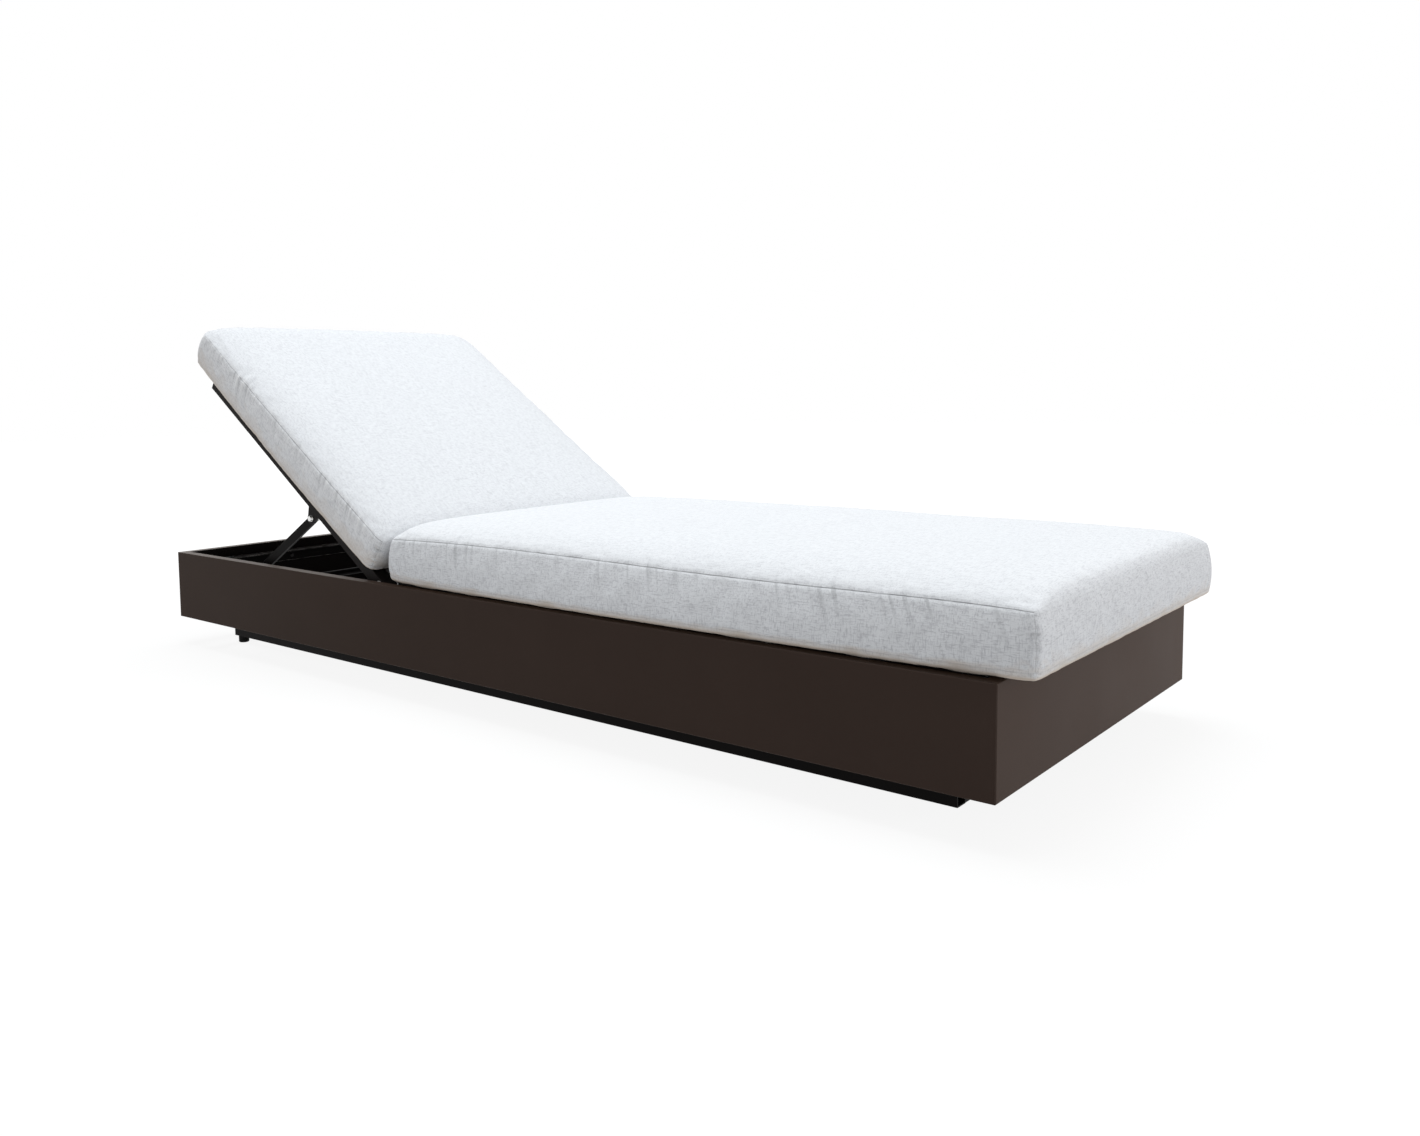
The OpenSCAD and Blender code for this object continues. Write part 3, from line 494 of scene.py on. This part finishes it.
class Cushion:
    """The sewn form of a box cushion, from lattices of its panels, with its seams marked.

    seam_h gives the height of the upper seam at a share of the half length, from -1 to 1.
    side_roll and end_roll say about how far in the top panel reaches its height.
    drop is how much lower the upper seam lies at the corners.
    lean and end_lean are how far the upper seam stands in from the foot of the border.
    draw is how far the sides pull in between the corners.
    foot_out is how far the foot of the border stands out at the head end and at the foot end.
    sag, tuck and spread_out move that foot down at the sides, up at the head corners, and outwards.
    soft_head is the share by which the seams along the sides show less at the head end.
    """

    def __init__(self, name, length, width, seam_h, side_roll, end_roll, crown, corner_r, drop, lean,
                 end_lean, foot_out, draw, sag, tuck, spread_out, soft_head, seed):
        self.name, self.seam_h, self.side_roll, self.end_roll = name, seam_h, side_roll, end_roll
        self.crown, self.corner_r, self.drop, self.lean, self.draw = crown, corner_r, drop, lean, draw
        self.end_lean, self.foot_out, self.soft_head = end_lean, foot_out, soft_head
        self.sag, self.tuck, self.spread_out, self.seed = sag, tuck, spread_out, seed
        self.a, self.b = length / 2, width / 2
        self.xs, self.ys = lattice(self.a), lattice(self.b)
        self.nx, self.ny = len(self.xs), len(self.ys)
        self.rim = [(i, 0) for i in range(self.nx)]
        self.rim += [(self.nx - 1, j) for j in range(1, self.ny)]
        self.rim += [(i, self.ny - 1) for i in range(self.nx - 2, -1, -1)]
        self.rim += [(0, j) for j in range(self.ny - 2, 0, -1)]
        self.points, self.pins = [], []
        self.marks = {label: [] for label in SEAM_MARKS}
        self.top, self.walls, self.under = {}, [], {}
        self.lay_top()
        self.raise_border()
        self.lay_underside()
        self.join()

    def plan(self, i, j, level, swell, draw):
        """A lattice point's place in plan on a level of the border, from 0 at its foot to 1 at the seam."""
        u, v = self.xs[i] / self.a, self.ys[j] / self.b
        x, y = round_plan(self.xs[i], self.ys[j], self.a, self.b, self.corner_r)
        foot = self.foot_out[0] if u < 0 else self.foot_out[1]
        x *= (self.a + swell - self.end_lean * level + foot * (1 - level)) / self.a
        y *= (self.b + swell - self.lean * level - draw * (1 - u * u) * abs(v) ** 6) / self.b
        return x, y

    def gaps(self, i, j):
        """Distances of a lattice point from the nearer end and from the nearer side."""
        return self.a - abs(self.xs[i]), self.b - abs(self.ys[j])

    def seam_z(self, i, j):
        """Height of the upper seam nearest to a lattice point, which is pulled down at the corners."""
        u, v = self.xs[i] / self.a, self.ys[j] / self.b
        return self.seam_h(u) - self.drop * min(abs(u), abs(v)) ** 9

    def top_z(self, i, j):
        """Height of the top panel, which rolls over the ends, leaves the sides at a slant and is crowned."""
        end_gap, side_gap = self.gaps(i, j)
        seam_z = self.seam_z(i, j)
        over_end = math.sqrt(1 - (1 - min(end_gap / self.end_roll, 1)) ** 2)
        over_side = 1 - math.exp(-side_gap / self.side_roll)
        crown = (1 - math.exp(-end_gap / CROWN_REACH)) * (1 - math.exp(-side_gap / CROWN_REACH))
        return seam_z + (SHOULDER_H - seam_z) * over_end * over_side + self.crown * crown

    def hang(self, i, j):
        """How far the border's foot hangs beside its frame, less its lift at the corners of the head end."""
        u, v = abs(self.xs[i]) / self.a, abs(self.ys[j]) / self.b
        side = math.exp(-(((self.b - abs(self.ys[j])) / SAG_REACH) ** 2))
        tucked = self.tuck * max(0.0, -self.xs[i] / self.a) ** 24 * v ** 8
        return self.sag * side * max(0.0, 1 - u ** 5) * v - tucked

    def shows(self, i, j):
        """How much the upper seam shows: all of it along the sides, less at the head, little at the ends."""
        end_gap, side_gap = self.gaps(i, j)
        if end_gap < side_gap:
            return END_SEAM_SHOWN
        return 1.0 - self.soft_head * max(0.0, -self.xs[i] / self.a) ** 2

    def along(self, i, j):
        """Place along the nearest seam, counted once round the cushion, for puckers that run across it."""
        x, y, a, b = self.xs[i], self.ys[j], self.a, self.b
        if a - abs(x) < b - abs(y):
            return 2 * a + b + y if x > 0 else 4 * a + 3 * b - y
        return a + x if y < 0 else 3 * a + 2 * b - x

    def add(self, i, j, place, seam, low, corner, pin):
        """Adds a point with its distances from the seams and how firmly it is held, and gives its number."""
        self.points.append(place)
        self.pins.append(pin)
        for label, value in zip(SEAM_MARKS, (seam, low, corner, self.along(i, j), self.shows(i, j))):
            self.marks[label].append(value)
        return len(self.points) - 1

    def lay_top(self):
        """The top panel, sewn at its edge and held more and more by the foam towards the middle."""
        for i in range(self.nx):
            for j in range(self.ny):
                gap = min(self.gaps(i, j))
                x, y = self.plan(i, j, 1, 0, self.draw)
                pin = 1.0 if gap < ON_SEAM else round(FOAM_HOLD * min(1, gap / FOAM_HOLD_REACH), 2)
                self.top[i, j] = self.add(i, j, (x, y, self.top_z(i, j)), gap, FAR, FAR, pin)

    def raise_border(self):
        """The border, ring by ring from the upper seam down to the lower one."""
        for t in np.linspace(1, 0, BORDER_ROWS + 1)[1:]:
            ring = []
            for i, j in self.rim:
                swell = BORDER_SWELL * 4 * t * (1 - t)
                x, y = self.plan(i, j, t, swell, self.draw * t - self.spread_out * (1 - t) ** 1.4)
                seam_z, foot_z = self.seam_z(i, j), LOW_SEAM - self.hang(i, j)
                place = (x, y, foot_z + (seam_z - foot_z) * t)
                height = seam_z - LOW_SEAM
                end_gap, side_gap = self.gaps(i, j)
                corner = end_gap - side_gap
                pin = 1.0 if t == 0 else (CORNER_HOLD if abs(corner) < ON_SEAM else 0.0)
                ring.append(self.add(i, j, place, -(1 - t) * height, t * height, corner, pin))
            self.walls.append(ring)

    def lay_underside(self):
        """The underside, which rolls up into the foot of the border and lies on the frame."""
        for i in range(self.nx):
            for j in range(self.ny):
                gap = min(self.gaps(i, j))
                if gap < ON_SEAM:
                    continue
                rolled = 1 - min(gap / UNDER_ROLL, 1)
                x, y = self.plan(i, j, 0, BORDER_SWELL * 4 * rolled * (1 - rolled), -self.spread_out)
                place = (x, y, LOW_SEAM * (1 - math.sqrt(1 - rolled ** 2)) - self.hang(i, j))
                pin = 1.0 if gap > UNDER_ROLL * 0.9 else 0.0
                self.under[i, j] = self.add(i, j, place, -FAR, -gap, FAR, pin)
        for n, corner in enumerate(self.rim):
            self.under[corner] = self.walls[-1][n]

    def join(self):
        """Joins the points into faces and makes the piece, with the marks as attributes of its points."""
        faces = []
        for i in range(self.nx - 1):
            for j in range(self.ny - 1):
                cell = [(i, j), (i + 1, j), (i + 1, j + 1), (i, j + 1)]
                faces.append([self.top[c] for c in cell])
                faces.append([self.under[c] for c in reversed(cell)])
        upper = [self.top[c] for c in self.rim]
        for ring in self.walls:
            for n in range(len(upper)):
                m = (n + 1) % len(upper)
                faces.append([upper[n], ring[n], ring[m], upper[m]])
            upper = ring
        mesh = bpy.data.meshes.new(self.name)
        mesh.from_pydata(self.points, [], faces)
        for label, values in self.marks.items():
            attribute = mesh.attributes.new(label, "FLOAT", "POINT")
            attribute.data.foreach_set("value", np.array(values, np.float32))
        self.piece = bpy.data.objects.new(self.name, mesh)
        bpy.context.scene.collection.objects.link(self.piece)
        self.pins = np.array(self.pins)

    def as_changed(self):
        """The piece with its modifiers at work."""
        return self.piece.evaluated_get(bpy.context.evaluated_depsgraph_get())

    def stuff(self):
        """Lets the foam press the cloth out between the seams, no further than the cap."""
        group = self.piece.vertex_groups.new(name="sewn")
        for value in np.unique(self.pins):
            if value > 0:
                group.add(np.nonzero(self.pins == value)[0].tolist(), float(value), "REPLACE")
        cloth = self.piece.modifiers.new("stuffing", "CLOTH")
        for key, value in STUFFING.items():
            setattr(cloth.settings, key, value)
        cloth.settings.effector_weights.gravity = 0
        cloth.collision_settings.use_collision = False
        cloth.point_cache.frame_start, cloth.point_cache.frame_end = 1, STUFFING_STEPS
        scene = bpy.context.scene
        start = vertex_places(self.piece.data)
        for step in range(1, STUFFING_STEPS + 1):
            scene.frame_set(step)
        stuffed = vertex_places(self.as_changed().data)
        self.piece.modifiers.remove(cloth)
        scene.frame_set(1)
        move = stuffed - start
        size = np.linalg.norm(move, axis=1, keepdims=True) + TINY
        limited = start + move / size * STUFFING_CAP * np.tanh(size / STUFFING_CAP)
        self.piece.data.vertices.foreach_set("co", limited.astype(np.float32).ravel())
        self.piece.data.update()

    def run_noise(self, run, scale, layer):
        """Noise along the run of the seams."""
        return np.array([noise.noise(Vector((s * scale, self.seed, layer))) for s in run])

    def sew(self, ripple):
        """Rounds the mesh once, then sinks the seams into it and puckers the cloth beside them."""
        self.piece.modifiers.new("round", "SUBSURF").levels = 1
        done = bpy.data.meshes.new_from_object(self.as_changed())
        self.piece.modifiers.clear()
        self.piece.data = done
        count = len(done.vertices)
        co, normal = vertex_places(done), np.empty(count * 3, np.float32)
        done.vertices.foreach_get("normal", normal)
        normal = normal.reshape(-1, 3)
        gap = {}
        for label in SEAM_MARKS:
            gap[label] = np.empty(count, np.float32)
            done.attributes[label].data.foreach_get("value", gap[label])
        sink = -SEAM_GROOVE * gap["seam_shown"] * bell(gap["seam_gap"], GROOVE_WIDTH)
        sink -= LESSER_GROOVE * bell(gap["low_gap"], GROOVE_WIDTH)
        sink -= LESSER_GROOVE * bell(gap["corner_gap"], CORNER_GROOVE_WIDTH)
        run = gap["seam_run"]
        pucker = self.run_noise(run, PUCKER_SCALE, 0) + 0.5 * self.run_noise(run, FINE_PUCKER_SCALE, 4)
        strength = (0.45 + 1.3 * self.run_noise(run, PUCKER_PATCH_SCALE, 9)).clip(0.12, 1)
        nearest = np.minimum(np.abs(gap["seam_gap"]), np.abs(gap["low_gap"]))
        lift = ripple * strength * pucker * np.exp(-nearest / PUCKER_REACH)
        lift = lift * (1 - bell(nearest, PUCKER_START))
        lumps = np.array([noise.noise(Vector(p) * LUMP_SCALE + Vector((self.seed, 0, 0))) for p in co])
        on_top = np.clip(gap["seam_gap"] / LUMP_REACH, 0, 1)
        co = co + normal * (sink + lift + LUMP_H * lumps * on_top)[:, None]
        done.vertices.foreach_set("co", co.astype(np.float32).ravel())
        for polygon in done.polygons:
            polygon.use_smooth = True
        done.update()


SLUB_ALONG = 85.0
SLUB_ACROSS = 560.0
SLUB_END_ON = 0.45
YARN_PITCH = 2.2 * MM
SEAM_LINE_SCALE = 32.0
CREASE_SCALE = 75.0
CREASE_PATCH_SCALE = 7.0
CREASE_SLANT = 0.35
CREASE_REACH = 25 * MM
TUCK_REACH = 8 * MM
SEAM_LINE = 1.3 * MM
WEAVE_DEPTH = 0.25 * MM
CLOTH_PALE = (0.80, 0.81, 0.835, 1)
# The back cushion's top is a little darker as painted shade, and its sides lighter as painted light.
CLOTH_TOP_PAINTED_SHADE = (0.755, 0.766, 0.792, 1)
CLOTH_SIDE_PAINTED_LIGHT = (0.885, 0.89, 0.91, 1)
# Lighter tone on the pucker ridges beside the seams: a painted highlight.
CLOTH_RIDGE_HIGHLIGHT = (0.93, 0.93, 0.94, 1)
CLOTH_FLECK = (0.50, 0.50, 0.53, 1)
# Warm tint on downward faces: painted bounce light from the brown panels below.
UNDERSIDE_PAINTED_BOUNCE = (0.68, 0.585, 0.50, 1)
# Grey for the dark seam lines and for painted shade in the creases beside them.
SEAM_LINE_AND_SHADE_GREY = (0.16, 0.16, 0.17, 1)


def slub_weave_group():
    """Heathered cloth: a plain weave of pale yarns, with darker slubs along each of the three axes."""
    group, entry, end = node_group(
        "slub_weave",
        [("Pale", "Color", (0.8, 0.8, 0.82, 1)), ("Fleck", "Color", (0.5, 0.5, 0.53, 1)),
         ("Heather", "Float", 0.5)],
        [("Colour", "Color"), ("Height", "Float"), ("Roughness", "Float")],
    )
    place = object_place(group)
    facing = facing_parts(group)
    slubs = []
    for axis in (X, Y, Z):
        stretched = put(group, "ShaderNodeMapping", {
            "Vector": place, "Scale": tuple(SLUB_ALONG if i == axis else SLUB_ACROSS for i in (X, Y, Z)),
            "Location": (3.1 * axis, 1.7 * axis, 0.9 * axis),
        })
        streak = fine_noise(group, stretched.outputs[0], 1.0, 3.0, 0.65)
        end_on = spread(group, reckon(group, "ABSOLUTE", facing[axis]), 0.6, 0.9, 0.0, 1.0)
        slubs.append(blend_values(group, end_on, streak, SLUB_END_ON))
    yarn = reckon(group, "ADD", *slubs)
    broad = spread(group, yarn, 1.25, 1.65, 0.0, 0.35)
    sharp = spread(group, reckon(group, "MAXIMUM", *slubs), 0.5, 0.7, 0.0, 0.65)
    tone = spread(group, reckon(group, "ADD", broad, sharp), 0.15, 0.85, 0.0, 1.0)
    fleck = reckon(group, "MULTIPLY", tone, entry.outputs["Heather"])
    colour = blend_colours(group, fleck, entry.outputs["Pale"], entry.outputs["Fleck"])
    group.links.new(colour, end.inputs["Colour"])
    parts = put(group, "ShaderNodeSeparateXYZ", {0: place}).outputs
    waves = []
    for axis in (X, Y, Z):
        waves.append(reckon(group, "SINE", reckon(group, "MULTIPLY", parts[axis], 2 * math.pi / YARN_PITCH)))
    crossings = [reckon(group, "MULTIPLY", waves[i], waves[(i + 1) % 3]) for i in (X, Y, Z)]
    weave = reckon(group, "ADD", crossings[0], reckon(group, "ADD", crossings[1], crossings[2]))
    height = reckon(group, "ADD", reckon(group, "MULTIPLY", weave, 0.2), yarn)
    group.links.new(height, end.inputs["Height"])
    group.links.new(spread(group, yarn, 1.2, 1.7, 0.95, 0.82), end.inputs["Roughness"])
    return group


def string_noise(tree, place, scale):
    """Noise along one measured distance, such as the run of a seam."""
    at = reckon(tree, "MULTIPLY", place, scale)
    ripples = put(tree, "ShaderNodeTexNoise", {"W": at, "Scale": 1.0, "Detail": 2.0}, noise_dimensions="1D")
    return ripples.outputs["Fac"]


def fading(tree, gap, reach):
    """1 at a seam, and less by a constant share with each step away from it."""
    return reckon(tree, "EXPONENT", reckon(tree, "MULTIPLY", reckon(tree, "ABSOLUTE", gap), -1 / reach))


def seam_work_group():
    """What the seams do to the cloth: the dark line in the fold, the puckers beside it with painted shade in
    their creases, and their ridges, which mark where the cloth gets a painted highlight.
    """
    group, entry, end = node_group(
        "seam_work", [("Width", "Float", 0.0012), ("Shown", "Float", 1.0)],
        [("Seam_line_and_shade", "Float"), ("Pucker", "Float"), ("Ridge", "Float")],
    )
    marks = {
        label: put(group, "ShaderNodeAttribute", attribute_name=label).outputs["Fac"] for label in SEAM_MARKS
    }
    lines = []
    for label, share in (("seam_gap", 1.0), ("low_gap", 0.16), ("corner_gap", 0.35)):
        near = put(group, "ShaderNodeMapRange", {
            "Value": reckon(group, "ABSOLUTE", marks[label]), "From Min": 0.0,
            "From Max": entry.outputs["Width"], "To Min": share, "To Max": 0.0,
        }, interpolation_type="SMOOTHSTEP")
        lines.append(near.outputs["Result"])
    drawn = spread(group, string_noise(group, marks["seam_run"], SEAM_LINE_SCALE), 0.35, 0.65, 0.7, 1.0)
    upper = reckon(group, "MULTIPLY", lines[0], marks["seam_shown"], drawn, entry.outputs["Shown"])
    fold = reckon(group, "MAXIMUM", upper, reckon(group, "MAXIMUM", lines[1], lines[2]))
    slant = reckon(group, "MULTIPLY", marks["seam_gap"], CREASE_SLANT)
    slanted = reckon(group, "ADD", marks["seam_run"], slant)
    crease = reckon(group, "SUBTRACT", string_noise(group, slanted, CREASE_SCALE), 0.5)
    patches = spread(group, string_noise(group, marks["seam_run"], CREASE_PATCH_SCALE), 0.38, 0.62, 0.2, 1.0)
    here = reckon(group, "MULTIPLY", patches, spread(group, marks["seam_shown"], 0.1, 0.8, 0.15, 1.0))
    side = spread(group, marks["seam_gap"], -2 * MM, 2 * MM, 1.0, 0.35)
    beside = reckon(group, "MULTIPLY", here, side, fading(group, marks["seam_gap"], CREASE_REACH))
    tuck = spread(group, string_noise(group, marks["low_gap"], CREASE_SCALE), 0.3, 0.7, -0.4, 0.4)
    at_corner = reckon(group, "MULTIPLY", tuck, fading(group, marks["corner_gap"], TUCK_REACH))
    pucker = reckon(group, "ADD", reckon(group, "MULTIPLY", crease, beside), at_corner)
    group.links.new(pucker, end.inputs["Pucker"])
    group.links.new(spread(group, pucker, 0.03, 0.14, 0.0, 1.0), end.inputs["Ridge"])
    # Painted shade in the creases of the puckers, joined to the dark seam lines.
    painted_crease_shade = spread(group, pucker, -0.01, -0.14, 0.0, 0.3)
    group.links.new(reckon(group, "MAXIMUM", fold, painted_crease_shade), end.inputs["Seam_line_and_shade"])
    return group


SLUB_WEAVE = slub_weave_group()
SEAM_WORK = seam_work_group()


def cushion_cloth(name, pale, pale_side, heather_top, heather_side, shown, pucker, ridge_highlight):
    """Outdoor cloth, matte with the soft sheen of spun yarn.

    Its top and its sides have a tone and a share of flecks each, which paint light and shade: the back's top
    is darker and its sides lighter, and the seat's sides carry more flecks than its washed-out lit top. It is
    paler on the ridges beside the seams as a painted highlight, dark in their folds with painted shade in the
    creases, and browner underneath as painted bounce light from the panels.
    """
    material, tree = new_material(name)
    facing = facing_parts(tree)
    up = spread(tree, facing[2], 0.3, 0.85, 0.0, 1.0)
    weave = use_group(
        tree, SLUB_WEAVE, pale=blend_colours(tree, up, pale_side, pale), fleck=CLOTH_FLECK,
        heather=spread(tree, up, 0.0, 1.0, heather_side, heather_top),
    )
    seam = use_group(tree, SEAM_WORK, width=SEAM_LINE, shown=shown)
    below = spread(tree, facing[2], -0.05, -0.55, 0.0, 1.0)
    # Downward faces take the warm painted bounce light.
    bounce_tinted = blend_colours(tree, below, weave.outputs["Colour"], UNDERSIDE_PAINTED_BOUNCE)
    # Painted highlight on the ridges of the puckers.
    on_ridge = spread(tree, seam.outputs["Ridge"], 0.0, 1.0, 0.0, ridge_highlight)
    lightened = blend_colours(tree, on_ridge, bounce_tinted, CLOTH_RIDGE_HIGHLIGHT)
    colour = blend_colours(tree, seam.outputs["Seam_line_and_shade"], lightened, SEAM_LINE_AND_SHADE_GREY)
    drawn = put(tree, "ShaderNodeBump", {
        "Height": seam.outputs["Pucker"], "Strength": 1.0, "Distance": pucker,
    })
    bump = put(tree, "ShaderNodeBump", {
        "Height": weave.outputs["Height"], "Strength": 0.45, "Distance": WEAVE_DEPTH,
        "Normal": drawn.outputs["Normal"],
    })
    close_material(tree, "ShaderNodeBsdfPrincipled", {
        "Base Color": colour, "Roughness": weave.outputs["Roughness"], "Normal": bump.outputs["Normal"],
        "Specular IOR Level": 0.2, "Sheen Weight": 0.15, "Sheen Roughness": 0.5,
    })
    return material


def settle(cushion, cloth, ripple, place, body, cover, foam):
    """Finishes a cushion, lays it in its place and lets it stand for its CAD solids."""
    cushion.stuff()
    cushion.sew(ripple)
    piece = cushion.piece
    piece.data.materials.clear()
    piece.data.materials.append(cloth)
    piece.matrix_world = place
    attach(piece, body)
    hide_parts(cover, foam)
    return piece


SEAT_REACH = 8 * MM
SEAT_SEAM_H = 89 * MM
SEAM_WANDER = 2 * MM


def seat_seam(u):
    """The seat's upper seam wanders a little up and down along the cushion."""
    return SEAT_SEAM_H + SEAM_WANDER * math.cos(math.pi * (u + 0.45) / 0.72)


low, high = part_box("seat_cover")
seat = Cushion(
    "seat_cushion", high.x - low.x + SEAT_REACH, high.y - low.y, seat_seam, side_roll=34 * MM,
    end_roll=42 * MM, crown=13 * MM, corner_r=16 * MM, drop=3 * MM, lean=5 * MM, end_lean=5 * MM,
    foot_out=(0, 0), draw=5 * MM, sag=1.5 * MM, tuck=7 * MM, spread_out=10 * MM, soft_head=0, seed=2.0,
)
seat_cloth = cushion_cloth(
    "seat_cloth", CLOTH_PALE, CLOTH_PALE, heather_top=0.5, heather_side=0.75, shown=1.0, pucker=1.5 * MM,
    ridge_highlight=0.0,
)
on_deck = Matrix.Translation(((low.x + high.x - SEAT_REACH) / 2, 0, low.z))
settle(seat, seat_cloth, 0.8 * MM, on_deck, "base", "seat_cover", "seat_foam")


# Back cushion
# Sewn in the same way as the seat cushion and laid on the back frame, which it overhangs at the head end. The
# seat cushion presses its lower end together when the back lies flat.

BACK_ANGLE = math.radians(34.5)
HINGE = Vector((-0.281, 0, 0.2105))
BACK_LENGTH = 771 * MM
BACK_START = 17 * MM
RAIL_HALF = 12.8 * MM
BACK_SEAM_H = 81 * MM
BACK_SEAM_RISE = 8 * MM


def back_seam(u):
    """The back's upper seam is drawn down along the sides, less towards the ends."""
    return BACK_SEAM_H + BACK_SEAM_RISE * u ** 4


back = Cushion(
    "back_cushion", BACK_LENGTH, high.y - low.y, back_seam, side_roll=36 * MM, end_roll=56 * MM,
    crown=6 * MM, corner_r=24 * MM, drop=7 * MM, lean=-8 * MM, end_lean=0, foot_out=(10 * MM, -8 * MM),
    draw=0, sag=3 * MM, tuck=0, spread_out=6 * MM, soft_head=0.8, seed=11.0,
)
# The back's darker top and lighter sides are painted shade and painted light.
back_cloth = cushion_cloth(
    "back_cloth", CLOTH_TOP_PAINTED_SHADE, CLOTH_SIDE_PAINTED_LIGHT, heather_top=0.6, heather_side=0.6, shown=0.75,
    pucker=8 * MM, ridge_highlight=0.9,
)
raised = Matrix.Translation(HINGE) @ Matrix.Rotation(BACK_ANGLE, 4, "Y")
on_frame = raised @ Matrix.Translation((-BACK_START - BACK_LENGTH / 2, 0, RAIL_HALF))
back_cushion = settle(
    back, back_cloth, 1.8 * MM, on_frame, "back_cushion", "back_cover", "back_foam"
)
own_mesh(back_cushion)


# Floor, light and camera
# A white studio floor that keeps a soft shadow, a large overhead light, and softer ones from the foot end and
# from the near side of the head end.

FLOOR_SIDE = 30.0
FLOOR_GREY = (0.55, 0.55, 0.55, 1)
FLOOR_GLOW = 1.12
FLOOR_WHITE_SHARE = 0.8
SHADOW_REACH = 1.2
SHADOW_END = 2.6
AMBIENT = 0.40
WHITE = (1, 1, 1, 1)
CAMERA_PLACE = (1.5425, -1.7595, 0.5865)
CAMERA_YAW, CAMERA_PITCH, CAMERA_ROLL = 0.7318, 0.0828, -0.0164
SENSOR, FOCUS_PX, FRAME_W = 36.0, 1152.7, 1420
CENTRE_SHIFT = (0.0801, -0.0574)


def seen_directly(tree):
    """1 to the camera, in reflections and through glass, and 0 for the light that falls on things."""
    rays = put(tree, "ShaderNodeLightPath").outputs
    bent = reckon(tree, "MAXIMUM", rays["Is Glossy Ray"], rays["Is Transmission Ray"])
    return reckon(tree, "MAXIMUM", rays["Is Camera Ray"], bent)


def studio_white(name, share):
    """White to the camera and in reflections, with a share of the real shading left for the shadow."""
    material, tree = new_material(name)
    glow = put(tree, "ShaderNodeEmission", {"Color": WHITE, "Strength": FLOOR_GLOW})
    matte = put(tree, "ShaderNodeBsdfDiffuse", {"Color": FLOOR_GREY})
    away = put(tree, "ShaderNodeVectorMath", {0: object_place(tree)}, operation="LENGTH")
    white = spread(tree, away.outputs["Value"], SHADOW_REACH, SHADOW_END, share, 1.0)
    close_material(tree, "ShaderNodeMixShader", {
        0: reckon(tree, "MULTIPLY", seen_directly(tree), white), 1: matte.outputs[0], 2: glow.outputs[0],
    })
    return material


def soft_light(name, place, target, size, power, tint=(1, 1, 1)):
    lamp = bpy.data.lights.new(name, "AREA")
    lamp.shape, lamp.size, lamp.energy, lamp.color = "SQUARE", size, power, tint
    holder = bpy.data.objects.new(name, lamp)
    holder.location = place
    holder.rotation_euler = (Vector(target) - Vector(place)).to_track_quat("-Z", "Y").to_euler()
    bpy.context.scene.collection.objects.link(holder)


half = FLOOR_SIDE / 2
corners = [(-half, -half, 0), (half, -half, 0), (half, half, 0), (-half, half, 0)]
floor_mesh = bpy.data.meshes.new("studio_floor")
floor_mesh.from_pydata(corners, [], [(0, 1, 2, 3)])
floor_mesh.materials.append(studio_white("studio_floor_white", FLOOR_WHITE_SHARE))
floor = bpy.data.objects.new("studio_floor", floor_mesh)
bpy.context.scene.collection.objects.link(floor)

world = bpy.data.worlds.new("studio")
bpy.context.scene.world = world
world.use_nodes = True
sky = world.node_tree
sky.nodes.clear()
brightness = spread(sky, seen_directly(sky), 0.0, 1.0, AMBIENT, 1.0)
background = put(sky, "ShaderNodeBackground", {"Color": WHITE, "Strength": brightness})
put(sky, "ShaderNodeOutputWorld", {"Surface": background.outputs[0]})

soft_light("overhead_softbox", (-0.25, 0.2, 5.4), (0.1, 0, 0.2), 3.6, 244.0, tint=(0.955, 1.0, 1.015))
soft_light("foot_end_softbox", (4.0, 0.9, 0.7), (0.9, 0, 0.2), 1.8, 36.0)
soft_light("head_side_softbox", (-2.4, -3.4, 1.2), (-0.7, -0.3, 0.4), 1.6, 12.5)

lens = bpy.data.cameras.new("photo_camera")
lens.sensor_width = SENSOR
lens.lens = SENSOR * FOCUS_PX / FRAME_W
lens.shift_x, lens.shift_y = CENTRE_SHIFT
camera = bpy.data.objects.new("photo_camera", lens)
camera.matrix_world = (
    Matrix.Translation(CAMERA_PLACE) @ Matrix.Rotation(CAMERA_YAW, 4, "Z")
    @ Matrix.Rotation(math.pi / 2 - CAMERA_PITCH, 4, "X") @ Matrix.Rotation(CAMERA_ROLL, 4, "Z")
)
bpy.context.scene.collection.objects.link(camera)
bpy.context.scene.camera = camera
bpy.context.scene.view_settings.view_transform = "Standard"
